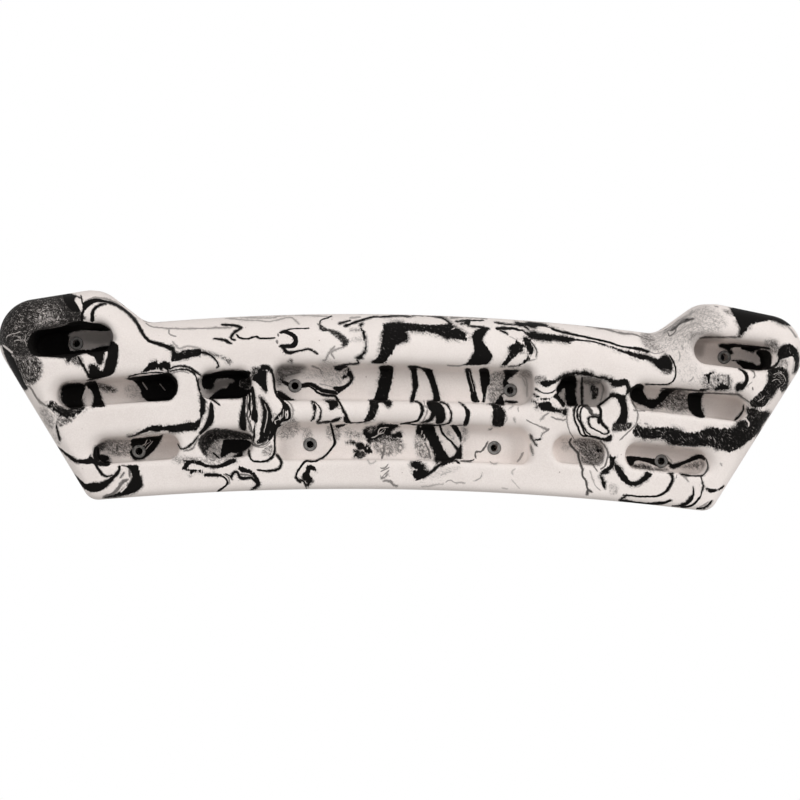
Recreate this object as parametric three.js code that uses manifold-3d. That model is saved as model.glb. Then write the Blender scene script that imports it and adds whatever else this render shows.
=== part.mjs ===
// A climbing hangboard: one resin casting with finger pockets, slots and jugs, and a steel washer
// let into the floor of the hold at each screw hole.
// Millimetres, +Z up, +X to the climber's right. The flat back that lies on the wall is Y = 0,
// centred on the origin, and the holds open towards -Y.
import * as THREE from 'three';
import { mergeVertices } from 'three/addons/utils/BufferGeometryUtils.js';
import Module from 'manifold-3d';

const { clamp, degToRad, lerp, smoothstep } = THREE.MathUtils;

// Depths of the holds, measured from the front face
const jugDepth = 42;
const jugBackWall = 15;
const boardDepth = jugDepth + jugBackWall;
const upperSlotDepth = 26;
const lowerSlotDepth = 18;
const upperTwoFingerDepth = 30;
const lowerTwoFingerDepth = 20;
const fourFingerDepth = 32;
const threeFingerDepth = 26;

// The rows of holds lie on circles about one far centre, so the whole board arches
const archRadius = 2220;
const railLevel = -8;
const railHeight = 17;
const upperSlotHeight = 26.8;
const lowerSlotHeight = 27;
const upperRowLevel = railLevel + railHeight / 2 + upperSlotHeight / 2;
const lowerRowLevel = railLevel - railHeight / 2 - lowerSlotHeight / 2;
const jugRowRise = 40.5;
const jugRowLevel = upperRowLevel + jugRowRise;

// Heights of the pockets beside the slots
const upperTwoFingerHeight = 21.5;
const lowerTwoFingerHeight = 20.5;
const fourFingerHeight = 19.5;
const threeFingerHeight = 19;
const jugHeight = 21.5;

// Widths along a row, from the centre line outwards
const slotHalfWidth = 96;
const innerColumnWidth = 17;
const twoFingerWidth = 39.5;
const outerColumnWidth = 15.8;
const fourFingerWidth = 88;
const threeFingerWidth = 63;
const jugWidth = 58;
const twoFingerStart = slotHalfWidth + innerColumnWidth;
const wingStart = twoFingerStart + twoFingerWidth + outerColumnWidth;
const wingEnd = wingStart + fourFingerWidth;

// Rounded lips where a hold meets the front face, soft above and crisp below
const beamLip = 8.5;
const railLipShare = 0.49;
const railLip = railLipShare * railHeight;
const ledgeLip = 4.5;
const columnLip = 6;
const pocketTopLip = 6;
const wingTopLip = 8;
const crispLip = 4;
const softEndLip = 11;
const jugTopLip = 7;
const jugLedgeLip = 5.5;

// Corners of the slots as seen from the front; a pocket's ends are nearly half round
const slotTopCorner = 8;
const slotRailCorner = 11;
const slotLedgeCorner = 7;
const roundEndShare = 0.48;

// Ceilings fall and jug ledges dip towards the floor, and walls meet the floor in a fillet
const ceilingDrop = 4;
const jugIncut = 3;
const floorFillet = 4;

// The outline around the holds
const topBeamHeight = 39;
const bottomBeamHeight = 23.2;
const topArchRadius = 1770;
const endWall = 24;
const endLean = degToRad(31);
const jugEndWall = 28;
const humpWall = 27;
const humpFall = degToRad(9.5);
const humpRise = degToRad(37);
const crestInset = 7.5;
const valleyRadius = 14;
const crestRadius = 26;
const shoulderRadius = 31;
const footRadius = 11;

// The outer edge rolls back from the front face in a quarter ellipse: how far it is drawn in
// from the outline, and how deep it reaches, on the beam, the hump, the slanted end and below
const beamRoll = { inset: 30, depth: 30 };
const humpRoll = { inset: 17, depth: 22 };
const endRoll = { inset: 20, depth: 36 };
const bottomRoll = { inset: 8.5, depth: 8.5 };
const sideDraft = 1.2;

// Screw holes, each with a plain washer let into the floor of its hold
const screwHoleDiameter = 5.7;
const washerBore = 5.3;
const washerDiameter = 10;
const washerThickness = 1;
const washerClearance = 0.3;
const screwDrop = 2.4;
const upperSlotScrewInset = 15.3;
const lowerSlotScrewInset = 25.9;
const cutOverrun = 5;

// Facets of the curved faces
const lipSteps = 3;
const filletSteps = 2;
const rollSteps = 5;
const cornerSteps = 5;
const archSteps = 8;
const bendSpacing = 45;
const holeSides = 28;
const washerSides = 32;

const resin = new THREE.MeshStandardMaterial({ color: 0xefe6e2, roughness: 0.7, metalness: 0 });
const steel = new THREE.MeshStandardMaterial({ color: 0xa3a19d, roughness: 0.45, metalness: 0.9 });

const wasm = await Module();
wasm.setup();

const range = (count) => Array.from({ length: count }, (_, i) => i);

// A place on the arched board, from its distance along a row and its level at the centre line
const archCentre = new THREE.Vector2(0, -archRadius);
function archPoint(along, level) {
  const turn = along / archRadius;
  const direction = new THREE.Vector2(Math.sin(turn), Math.cos(turn));
  return archCentre.clone().addScaledVector(direction, archRadius + level);
}

function alongTo(place) {
  return archRadius * Math.atan2(place.x, place.y + archRadius);
}

// A closed skin through equal rings of points. The points run anticlockwise as seen from the
// front, and the rings follow one another from the back to the front.
function loft(rings) {
  const count = rings[0].length;
  const last = (rings.length - 1) * count;
  const faces = [];
  for (let first = 0; first < last; first += count) {
    for (const i of range(count)) {
      const a = first + i;
      const b = first + ((i + 1) % count);
      faces.push(a, b, a + count, b, b + count, a + count);
    }
  }
  const capOf = (ring) =>
    THREE.ShapeUtils.triangulateShape(ring.map((p) => new THREE.Vector2(p.x, p.z)), []);
  capOf(rings[0]).forEach(([a, b, c]) => faces.push(c, b, a));
  capOf(rings.at(-1)).forEach(([a, b, c]) => faces.push(last + a, last + b, last + c));
  const positions = rings.flat().flatMap((p) => [p.x, p.y, p.z]);
  const geometry = new THREE.BufferGeometry();
  geometry.setAttribute('position', new THREE.Float32BufferAttribute(positions, 3));
  geometry.setIndex(faces);
  return geometry;
}

function solidOf(geometry) {
  const bare = geometry.clone();
  bare.deleteAttribute('normal');
  bare.deleteAttribute('uv');
  const merged = mergeVertices(bare);
  return new wasm.Manifold(new wasm.Mesh({
    numProp: 3,
    vertProperties: new Float32Array(merged.attributes.position.array),
    triVerts: new Uint32Array(merged.index.array),
  }));
}

function geometryOf(solid) {
  const mesh = solid.getMesh();
  const geometry = new THREE.BufferGeometry();
  geometry.setAttribute('position', new THREE.BufferAttribute(mesh.vertProperties, 3));
  geometry.setIndex(new THREE.BufferAttribute(mesh.triVerts, 1));
  geometry.computeVertexNormals();
  return geometry;
}

// Stations along an arc, each with its outward normal: facing is 1 on a bulge and -1 on a hollow
function arc(centre, radius, from, to, steps, facing) {
  return range(steps + 1).map((i) => {
    const angle = lerp(from, to, i / steps);
    const normal = new THREE.Vector2(Math.cos(angle), Math.sin(angle));
    const point = centre.clone().addScaledVector(normal, radius);
    return { point, normal: normal.multiplyScalar(facing) };
  });
}

// The fillet that rounds off a corner between two straight directions of travel
function cornerArc(into, corner, out, radius, steps) {
  const turn = Math.atan2(into.cross(out), into.dot(out));
  const side = Math.sign(turn);
  const inward = new THREE.Vector2(-into.y, into.x).multiplyScalar(side);
  const tangent = radius * Math.tan(Math.abs(turn) / 2);
  const start = corner.clone().addScaledVector(into, -tangent);
  const centre = start.addScaledVector(inward, radius);
  const from = Math.atan2(-inward.y, -inward.x);
  return arc(centre, radius, from, from + turn, steps, side);
}

// Where a line that heads away from a circle's centre crosses the circle
function meetCircle(point, direction, centre, radius) {
  const offset = point.clone().sub(centre);
  const along = offset.dot(direction);
  const reach = Math.sqrt(along * along - offset.lengthSq() + radius * radius);
  return point.clone().addScaledVector(direction, reach - along);
}

function meetLine(point, direction, other, otherDirection) {
  const share = other.clone().sub(point).cross(otherDirection) / direction.cross(otherDirection);
  return point.clone().addScaledVector(direction, share);
}

// The slanted end of the board stands one wall away from the four-finger pocket, and the jug
// ends one wall away from the slant
const endUpwards = new THREE.Vector2(Math.sin(endLean), Math.cos(endLean));
const endPoint = archPoint(wingEnd + endWall, upperRowLevel);
const jugRowEnd = meetCircle(endPoint, endUpwards, archCentre, archRadius + jugRowLevel);
const jugEnd = alongTo(jugRowEnd) - jugEndWall;
const jugStart = jugEnd - jugWidth;

// The hump over the jug: its crest, and the valley where it meets the top of the centre beam
const bottomLevel = lowerRowLevel - lowerSlotHeight / 2 - bottomBeamHeight;
const topLevel = upperRowLevel + upperSlotHeight / 2 + topBeamHeight;
const topCentre = new THREE.Vector2(0, topLevel - topArchRadius);
const crest = archPoint(jugStart + crestInset, jugRowLevel + jugHeight / 2 + humpWall);
const humpSlope = new THREE.Vector2(Math.cos(humpRise), Math.sin(humpRise));
const valley = meetCircle(crest, humpSlope, topCentre, topArchRadius);

// Stations round the whole outline, anticlockwise as seen from the front
function outline() {
  const shoulderSlope = new THREE.Vector2(Math.cos(humpFall), -Math.sin(humpFall));
  const shoulder = meetLine(crest, shoulderSlope, endPoint, endUpwards);
  const foot = meetCircle(endPoint, endUpwards, archCentre, archRadius + bottomLevel);
  const squareTo = (place, centre) => {
    const radial = place.clone().sub(centre).normalize();
    return new THREE.Vector2(radial.y, -radial.x);
  };
  const inwards = (direction) => direction.clone().negate();
  const angleAt = (place, centre) => place.clone().sub(centre).angle();
  const overhead = Math.PI / 2;

  const footTurn = cornerArc(squareTo(foot, archCentre), foot, endUpwards, footRadius, cornerSteps);
  const shoulderTurn = cornerArc(endUpwards, shoulder, inwards(shoulderSlope), shoulderRadius,
    2 * cornerSteps);
  const crestTurn = cornerArc(inwards(shoulderSlope), crest, inwards(humpSlope), crestRadius,
    cornerSteps);
  const valleyTurn = cornerArc(inwards(humpSlope), valley, inwards(squareTo(valley, topCentre)),
    valleyRadius, cornerSteps);
  const bottomArch = arc(archCentre, archRadius + bottomLevel, overhead,
    angleAt(footTurn[0].point, archCentre), archSteps, -1);
  const topArch = arc(topCentre, topArchRadius, angleAt(valleyTurn.at(-1).point, topCentre),
    overhead, archSteps, 1);

  const right = [...bottomArch.slice(0, -1), ...footTurn, ...shoulderTurn, ...crestTurn,
    ...valleyTurn, ...topArch.slice(1)];
  const mirror = new THREE.Vector2(-1, 1);
  const left = right.slice(1, -1).reverse().map(({ point, normal }) => (
    { point: point.clone().multiply(mirror), normal: normal.clone().multiply(mirror) }));
  return [...right, ...left];
}

// How the front edge rolls back at a station: most on the centre beam, least underneath
function rollAt({ point, normal }) {
  const mix = (a, b, share) => (
    { inset: lerp(a.inset, b.inset, share), depth: lerp(a.depth, b.depth, share) });
  const overHump = smoothstep(Math.abs(point.x), valley.x - valleyRadius, crest.x);
  const top = mix(beamRoll, humpRoll, overHump);
  return point.y < 0 ? bottomRoll : mix(endRoll, top, Math.max(normal.y, 0));
}

function casting() {
  const stations = outline();
  const backRing = stations.map(({ point }) => new THREE.Vector3(point.x, 0, point.y));
  const rollRings = range(rollSteps + 1).map((step) => {
    const angle = (step / rollSteps) * (Math.PI / 2);
    return stations.map((station) => {
      const roll = rollAt(station);
      const inset = sideDraft + roll.inset * (1 - Math.cos(angle));
      const place = station.point.clone().addScaledVector(station.normal, -inset);
      return new THREE.Vector3(place.x, roll.depth * (1 - Math.sin(angle)) - boardDepth, place.y);
    });
  });
  return solidOf(loft([backRing, ...rollRings]));
}

// How far a quarter-round lip still stands open at a depth below the front face
function lipOpening(radius, depth) {
  const toTheWall = Math.max(radius - Math.max(depth, 0), 0);
  return radius - Math.sqrt(radius * radius - toTheWall * toTheWall);
}

// One ring of a hold's hollow at a depth: a rounded rectangle on the arched row, opened by its
// four lips, drawn in by the floor's fillet, with a ceiling that falls and a ledge that may dip
function hollowRing(hold, depth, side) {
  const { from, to, level, height, lips, corners, incut } = hold;
  const lipDepth = Math.max(lips.top, lips.bottom, lips.start, lips.end);
  const inwards = Math.max(depth - lipDepth, 0) / (hold.depth - lipDepth);
  const intoFillet = clamp(depth - (hold.depth - floorFillet), 0, floorFillet);
  const drawnIn = floorFillet - Math.sqrt(floorFillet ** 2 - intoFillet ** 2);
  const top = level + height / 2 - ceilingDrop * inwards;
  const bottom = level - height / 2 - incut * inwards;
  const topCorner = Math.min(corners.top, roundEndShare * (top - bottom));
  const bottomCorner = Math.min(corners.bottom, roundEndShare * (top - bottom));
  const open = (lip) => lipOpening(lip, depth) - drawnIn;

  const turns = [
    { along: to - bottomCorner, up: bottom + bottomCorner, corner: bottomCorner,
      sideways: open(lips.end), upright: open(lips.bottom), quarter: 3 },
    { along: to - topCorner, up: top - topCorner, corner: topCorner,
      sideways: open(lips.end), upright: open(lips.top), quarter: 0 },
    { along: from + topCorner, up: top - topCorner, corner: topCorner,
      sideways: open(lips.start), upright: open(lips.top), quarter: 1 },
    { along: from + bottomCorner, up: bottom + bottomCorner, corner: bottomCorner,
      sideways: open(lips.start), upright: open(lips.bottom), quarter: 2 },
  ];
  const round = turns.map((turn) => range(cornerSteps + 1).map((i) => {
    const angle = (turn.quarter + i / cornerSteps) * (Math.PI / 2);
    return new THREE.Vector2(turn.along + (turn.corner + turn.sideways) * Math.cos(angle),
      turn.up + (turn.corner + turn.upright) * Math.sin(angle));
  }));
  const bends = Math.max(1, Math.round((to - from) / bendSpacing));
  const between = (a, b) => range(bends - 1).map((i) => a.clone().lerp(b, (i + 1) / bends));
  const flat = [...round[0], ...round[1], ...between(round[1].at(-1), round[2][0]),
    ...round[2], ...round[3], ...between(round[3].at(-1), round[0][0])];
  const ring = flat.map(({ x, y }) => {
    const place = archPoint(x, y);
    return new THREE.Vector3(side * place.x, depth - boardDepth, place.y);
  });
  return side < 0 ? ring.reverse() : ring;
}

function hollow(hold, side) {
  const lipDepth = Math.max(...Object.values(hold.lips));
  const share = (i, steps) => 1 - Math.cos((i / steps) * (Math.PI / 2));
  const depths = [
    -cutOverrun,
    ...range(lipSteps + 1).map((i) => lipDepth * share(i, lipSteps)),
    ...range(filletSteps + 1).map((i) =>
      hold.depth - floorFillet * share(filletSteps - i, filletSteps)),
  ];
  return solidOf(loft(depths.reverse().map((depth) => hollowRing(hold, depth, side))));
}

const lipsOf = (top, bottom, start, end) => ({ top, bottom, start, end });
const roundEnds = { top: Infinity, bottom: Infinity };

const slots = {
  upper_slot: {
    from: -slotHalfWidth, to: slotHalfWidth, level: upperRowLevel,
    height: upperSlotHeight, depth: upperSlotDepth, incut: 0,
    lips: lipsOf(beamLip, railLip, columnLip, columnLip),
    corners: { top: slotTopCorner, bottom: slotRailCorner },
  },
  lower_slot: {
    from: -slotHalfWidth, to: slotHalfWidth, level: lowerRowLevel,
    height: lowerSlotHeight, depth: lowerSlotDepth, incut: 0,
    lips: lipsOf(railLip, ledgeLip, columnLip, columnLip),
    corners: { top: slotRailCorner, bottom: slotLedgeCorner },
  },
};

const pockets = {
  upper_two_finger: {
    from: twoFingerStart, to: twoFingerStart + twoFingerWidth, level: upperRowLevel,
    height: upperTwoFingerHeight, depth: upperTwoFingerDepth, incut: 0,
    lips: lipsOf(pocketTopLip, crispLip, crispLip, crispLip), corners: roundEnds,
  },
  lower_two_finger: {
    from: twoFingerStart, to: twoFingerStart + twoFingerWidth, level: lowerRowLevel,
    height: lowerTwoFingerHeight, depth: lowerTwoFingerDepth, incut: 0,
    lips: lipsOf(pocketTopLip, crispLip, crispLip, crispLip), corners: roundEnds,
  },
  four_finger: {
    from: wingStart, to: wingEnd, level: upperRowLevel,
    height: fourFingerHeight, depth: fourFingerDepth, incut: 0,
    lips: lipsOf(wingTopLip, crispLip, crispLip, softEndLip), corners: roundEnds,
  },
  three_finger: {
    from: wingStart, to: wingStart + threeFingerWidth, level: lowerRowLevel,
    height: threeFingerHeight, depth: threeFingerDepth, incut: 0,
    lips: lipsOf(wingTopLip, crispLip, crispLip, softEndLip), corners: roundEnds,
  },
  jug: {
    from: jugStart, to: jugEnd, level: jugRowLevel,
    height: jugHeight, depth: jugDepth, incut: jugIncut,
    lips: lipsOf(jugTopLip, jugLedgeLip, pocketTopLip, softEndLip), corners: roundEnds,
  },
};

// The screw holes sit in the floors of the jugs, the slots and the three-finger pockets, a
// little below the middle
const { jug, three_finger: threeFinger } = pockets;
const middle = (hold) => (hold.from + hold.to) / 2;
const screwPlaces = {
  jug: { along: middle(jug), hold: jug },
  upper_slot: { along: slotHalfWidth - upperSlotScrewInset, hold: slots.upper_slot },
  lower_slot: { along: slotHalfWidth - lowerSlotScrewInset, hold: slots.lower_slot },
  three_finger: { along: middle(threeFinger), hold: threeFinger },
};

// The middle of a washer's seat, on the floor of its hold
function seatOf({ along, hold }, side) {
  const place = archPoint(along, hold.level - screwDrop);
  return new THREE.Vector3(side * place.x, hold.depth - boardDepth, place.y);
}

// A round cut that runs from one Y to another
function roundCut(seat, diameter, fromY, toY) {
  const cylinder = new THREE.CylinderGeometry(diameter / 2, diameter / 2, toY - fromY, holeSides);
  return solidOf(cylinder.translate(seat.x, (fromY + toY) / 2, seat.z));
}

function washer() {
  const [inner, outer] = [washerBore / 2, washerDiameter / 2];
  const section = [
    new THREE.Vector2(inner, 0), new THREE.Vector2(outer, 0),
    new THREE.Vector2(outer, washerThickness), new THREE.Vector2(inner, washerThickness),
  ];
  return geometryOf(solidOf(new THREE.LatheGeometry([...section, section[0]], washerSides)));
}

const sides = { left: -1, right: 1 };
const seats = Object.entries(screwPlaces).flatMap(([hold, place]) =>
  Object.entries(sides).map(([end, side]) => (
    { name: `washer_${hold}_${end}`, seat: seatOf(place, side) })));

let board = casting();
for (const slot of Object.values(slots)) board = board.subtract(hollow(slot, 1));
for (const pocket of Object.values(pockets)) {
  for (const side of Object.values(sides)) board = board.subtract(hollow(pocket, side));
}
for (const { seat } of seats) {
  const recess = washerThickness + washerClearance;
  board = board.subtract(roundCut(seat, screwHoleDiameter, seat.y - cutOverrun, cutOverrun));
  board = board.subtract(roundCut(seat, washerDiameter + 2 * washerClearance,
    seat.y - washerClearance, seat.y + recess));
}

const hangboard = new THREE.Group();
const boardMesh = new THREE.Mesh(geometryOf(board), resin);
boardMesh.name = 'board_casting';
hangboard.add(boardMesh);

for (const { name, seat } of seats) {
  const ring = new THREE.Mesh(washer(), steel);
  ring.name = name;
  ring.position.copy(seat);
  hangboard.add(ring);
}

export default hangboard;
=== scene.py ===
# %% [markdown]
# # A hangboard in poured resin
# A climbing hangboard is one heavy casting with holds sunk into its front, screwed flat to a wall.
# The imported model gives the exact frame: where the board is, how big it is, and where each of the
# eight steel washers sits. This file gives the board its look. It makes the casting again as one
# smooth skin, lays the poured black marbling over it, dresses the washers and lights the scene.

import bpy
import bmesh
import numpy as np
from mathutils import Matrix, Vector


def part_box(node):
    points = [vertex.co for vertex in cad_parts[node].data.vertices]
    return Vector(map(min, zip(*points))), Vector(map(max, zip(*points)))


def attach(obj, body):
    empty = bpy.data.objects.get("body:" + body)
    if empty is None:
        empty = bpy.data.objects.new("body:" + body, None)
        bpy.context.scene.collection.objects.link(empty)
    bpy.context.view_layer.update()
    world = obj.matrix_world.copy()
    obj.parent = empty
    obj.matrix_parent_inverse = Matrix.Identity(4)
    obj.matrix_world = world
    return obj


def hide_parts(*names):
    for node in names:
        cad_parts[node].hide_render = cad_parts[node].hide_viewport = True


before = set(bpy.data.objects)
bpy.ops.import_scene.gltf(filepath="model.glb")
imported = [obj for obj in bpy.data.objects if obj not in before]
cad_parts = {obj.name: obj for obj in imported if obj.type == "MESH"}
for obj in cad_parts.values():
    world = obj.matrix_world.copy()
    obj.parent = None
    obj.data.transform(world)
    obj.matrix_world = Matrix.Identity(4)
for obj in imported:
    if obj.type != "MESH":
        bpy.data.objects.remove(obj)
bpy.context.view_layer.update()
MM = 0.001

# %% [markdown]
# ## The camera
# The photograph was taken from about two metres in front, a little to the board's left, with a
# long lens and a slight roll. The camera stands there and looks at the board's middle.

# %% Place the camera
EYE = np.array([-109.0, -2000.0, 0.0])
CAMERA_YAW, CAMERA_PITCH, CAMERA_ROLL = np.radians([3.11, 0.03, 1.15])
BACK_MM_PER_PIXEL = 0.7623
PICTURE_WIDTH = 800

camera = bpy.data.objects.new("camera", bpy.data.cameras.new("camera"))
bpy.context.scene.collection.objects.link(camera)
bpy.context.scene.camera = camera
camera_turn = (Matrix.Rotation(-CAMERA_YAW, 4, "Z")
               @ Matrix.Rotation(np.pi / 2 + CAMERA_PITCH, 4, "X")
               @ Matrix.Rotation(CAMERA_ROLL, 4, "Z"))
camera.matrix_world = Matrix.Translation(EYE * MM) @ camera_turn
focal_pixels = -EYE[1] / BACK_MM_PER_PIXEL
camera.data.lens = focal_pixels / PICTURE_WIDTH * camera.data.sensor_width
camera.data.clip_end = 20
print("lens:", round(camera.data.lens, 1), "mm")

# %% [markdown]
# ## The sizes of the casting
# These repeat the named sizes of the part's source, in millimetres, so that the new skin lies
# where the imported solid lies. Only the outline's slopes and corners and the small roll underneath
# were fitted once more to the photograph, and stray from the source by a few millimetres. `along`
# is a distance from the middle of the board along a row of holds, and `level` is a height at the
# middle, because the rows lie on circles about one far centre and so the whole board arches.

# %% Sizes of the board and its holds
BOARD_DEPTH = 57.0
ARCH = 2220.0
UPPER_ROW, LOWER_ROW, JUG_ROW = 13.9, -30.0, 54.4
SLOT_HALF = 96.0
TWO_FINGER_START, TWO_FINGER_END = 113.0, 152.5
WING_START, FOUR_FINGER_END, THREE_FINGER_END = 168.3, 256.3, 231.3
JUG_START, JUG_END = 211.68, 269.68
CEILING_DROP, FLOOR_FILLET = 4.0, 4.0
ROUND_END = 0.48
FULLY_ROUND = (99.0, 99.0)

HOLDS = {
    "upper_slot": dict(span=(-SLOT_HALF, SLOT_HALF), level=UPPER_ROW, height=26.8, depth=26.0,
                       incut=0.0, lips=(8.5, 8.33, 6.0, 6.0), corners=(8.0, 11.0)),
    "lower_slot": dict(span=(-SLOT_HALF, SLOT_HALF), level=LOWER_ROW, height=27.0, depth=18.0,
                       incut=0.0, lips=(8.33, 4.5, 6.0, 6.0), corners=(11.0, 7.0)),
    "upper_two_finger": dict(span=(TWO_FINGER_START, TWO_FINGER_END), level=UPPER_ROW, height=21.5,
                             depth=30.0, incut=0.0, lips=(6.0, 4.0, 4.0, 4.0), corners=FULLY_ROUND),
    "lower_two_finger": dict(span=(TWO_FINGER_START, TWO_FINGER_END), level=LOWER_ROW, height=20.5,
                             depth=20.0, incut=0.0, lips=(6.0, 4.0, 4.0, 4.0), corners=FULLY_ROUND),
    "four_finger": dict(span=(WING_START, FOUR_FINGER_END), level=UPPER_ROW, height=19.5,
                        depth=32.0, incut=0.0, lips=(8.0, 4.0, 4.0, 11.0), corners=FULLY_ROUND),
    "three_finger": dict(span=(WING_START, THREE_FINGER_END), level=LOWER_ROW, height=19.0,
                         depth=26.0, incut=0.0, lips=(8.0, 4.0, 4.0, 11.0), corners=FULLY_ROUND),
    "jug": dict(span=(JUG_START, JUG_END), level=JUG_ROW, height=21.5, depth=42.0,
                incut=3.0, lips=(7.0, 5.5, 6.0, 11.0), corners=FULLY_ROUND),
}


def arch_coordinates(x, z):
    """along = the arch's radius times the angle about its far centre; level = the distance from
    that centre less the radius."""
    return ARCH * np.arctan2(x, z + ARCH), np.hypot(x, z + ARCH) - ARCH


def arch_place(along, level):
    """The inverse: x and z of a place given by its distance along the row and its level."""
    return (ARCH + level) * np.sin(along / ARCH), (ARCH + level) * np.cos(along / ARCH) - ARCH


print("kinds of hold:", len(HOLDS))

# %% [markdown]
# ## The outline seen from the front
# The outline is a chain of arcs: the arched bottom, a rounded foot, the slanted end, a broad
# shoulder, the crest of the jug's hump, a small valley, and the arched top of the centre beam.
# Each corner is the arc of its radius that touches the two straight ways that meet there.

# %% Outline as a chain of arcs
TOP_ARCH, TOP_LEVEL, BOTTOM_LEVEL = 1770.0, 66.3, -66.7
END_WALL, HUMP_WALL, CREST_INSET = 23.4, 26.9, 7.5
END_LEAN, HUMP_FALL, HUMP_RISE = np.radians([33.2, 10.4, 36.6])
FOOT_RADIUS, SHOULDER_RADIUS, CREST_RADIUS, VALLEY_RADIUS = 12.5, 31.0, 24.0, 17.0
CORNER_SPACING, ARCH_SPACING, FEWEST_POINTS = 1.5, 6.0, 4
ARCH_CENTRE, TOP_CENTRE = np.array([0.0, -ARCH]), np.array([0.0, TOP_LEVEL - TOP_ARCH])


def cross(a, b):
    return a[0] * b[1] - a[1] * b[0]


def arc_points(centre, radius, start, end, spacing=CORNER_SPACING):
    """Points centre + radius (cos t, sin t) for t from start to end, about `spacing` apart."""
    count = max(int(abs(end - start) * radius / spacing), FEWEST_POINTS)
    t = np.linspace(start, end, count)[:, None]
    return centre + radius * np.hstack([np.cos(t), np.sin(t)])


def rounded_corner(into, corner, out, radius):
    """The arc that touches both ways: it starts radius * tan(half the turn) before the corner."""
    bend = np.arctan2(cross(into, out), into @ out)
    inward = np.sign(bend) * np.array([-into[1], into[0]])
    centre = corner - into * radius * np.tan(abs(bend) / 2) + inward * radius
    start = np.arctan2(-inward[1], -inward[0])
    return arc_points(centre, radius, start, start + bend)


def meet_circle(point, way, centre, radius):
    offset = point - centre
    along = offset @ way
    return point + way * (np.sqrt(along ** 2 - offset @ offset + radius ** 2) - along)


def angle_about(point, centre):
    return np.arctan2(*(point - centre)[::-1])


def half_outline():
    """The right half, anticlockwise seen from the front, from the bottom's middle to the top's."""
    up_the_end = np.array([np.sin(END_LEAN), np.cos(END_LEAN)])
    end = np.array(arch_place(FOUR_FINGER_END + END_WALL, UPPER_ROW))
    crest_level = JUG_ROW + HOLDS["jug"]["height"] / 2 + HUMP_WALL
    crest = np.array(arch_place(JUG_START + CREST_INSET, crest_level))
    rise = -np.array([np.cos(HUMP_RISE), np.sin(HUMP_RISE)])
    fall = np.array([-np.cos(HUMP_FALL), np.sin(HUMP_FALL)])
    valley = meet_circle(crest, -rise, TOP_CENTRE, TOP_ARCH)
    shoulder = end + up_the_end * cross(crest - end, fall) / cross(up_the_end, fall)
    foot = meet_circle(end, up_the_end, ARCH_CENTRE, ARCH + BOTTOM_LEVEL)
    square = [(place - centre) / np.linalg.norm(place - centre)
              for place, centre in ((foot, ARCH_CENTRE), (valley, TOP_CENTRE))]
    foot_turn = rounded_corner(np.array([square[0][1], -square[0][0]]), foot, up_the_end, FOOT_RADIUS)
    turns = [
        foot_turn,
        rounded_corner(up_the_end, shoulder, fall, SHOULDER_RADIUS),
        rounded_corner(fall, crest, rise, CREST_RADIUS),
        rounded_corner(rise, valley, np.array([-square[1][1], square[1][0]]), VALLEY_RADIUS),
    ]
    bottom = arc_points(ARCH_CENTRE, ARCH + BOTTOM_LEVEL, np.pi / 2,
                        angle_about(foot_turn[0], ARCH_CENTRE), ARCH_SPACING)
    top = arc_points(TOP_CENTRE, TOP_ARCH, angle_about(turns[-1][-1], TOP_CENTRE), np.pi / 2,
                     ARCH_SPACING)
    return np.vstack([bottom[:-1], *turns, top[1:]]), valley[0], crest[0]


right_half, valley_x, crest_x = half_outline()
outline = np.vstack([right_half, (right_half * [-1, 1])[-2:0:-1]])
print("outline:", len(outline), "points,", np.round(np.ptp(outline, axis=0), 1), "mm")

# %% [markdown]
# ## How the front edge rolls back
# Seen from the side the front edge is a quarter ellipse: very round over the centre beam, where it
# is the sloping hold itself, tighter on the humps, long on the slanted ends, small underneath. A
# table over the board's front holds the distance in from the outline and the two half axes of that
# ellipse, so that the field below can look them up at any point.

# %% Table of the distance to the outline and of the edge's roll
BEAM_ROLL, HUMP_ROLL, END_ROLL, BOTTOM_ROLL = map(np.array, [(30.0, 30.0), (17.0, 22.0), (20.0, 36.0),
                                                             (6.0, 6.5)])
TABLE_STEP, TABLE_MARGIN, JUST_PAST_END = 1.0, 12.0, 1.001
ROLL_BLEND = 4.0


def smooth_step(value, low, high):
    t = np.clip((value - low) / (high - low), 0, 1)
    return t * t * (3 - 2 * t)


def roll_at(points, normals):
    """Half axes (inset, depth) of the edge's ellipse at points of the outline."""
    over_hump = smooth_step(np.abs(points[:, :1]), valley_x - VALLEY_RADIUS, crest_x)
    top = BEAM_ROLL + (HUMP_ROLL - BEAM_ROLL) * over_hump
    above = END_ROLL + (top - END_ROLL) * np.maximum(normals[:, 1:], 0)
    return np.where(points[:, 1:] < 0, BOTTOM_ROLL, above)


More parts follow.
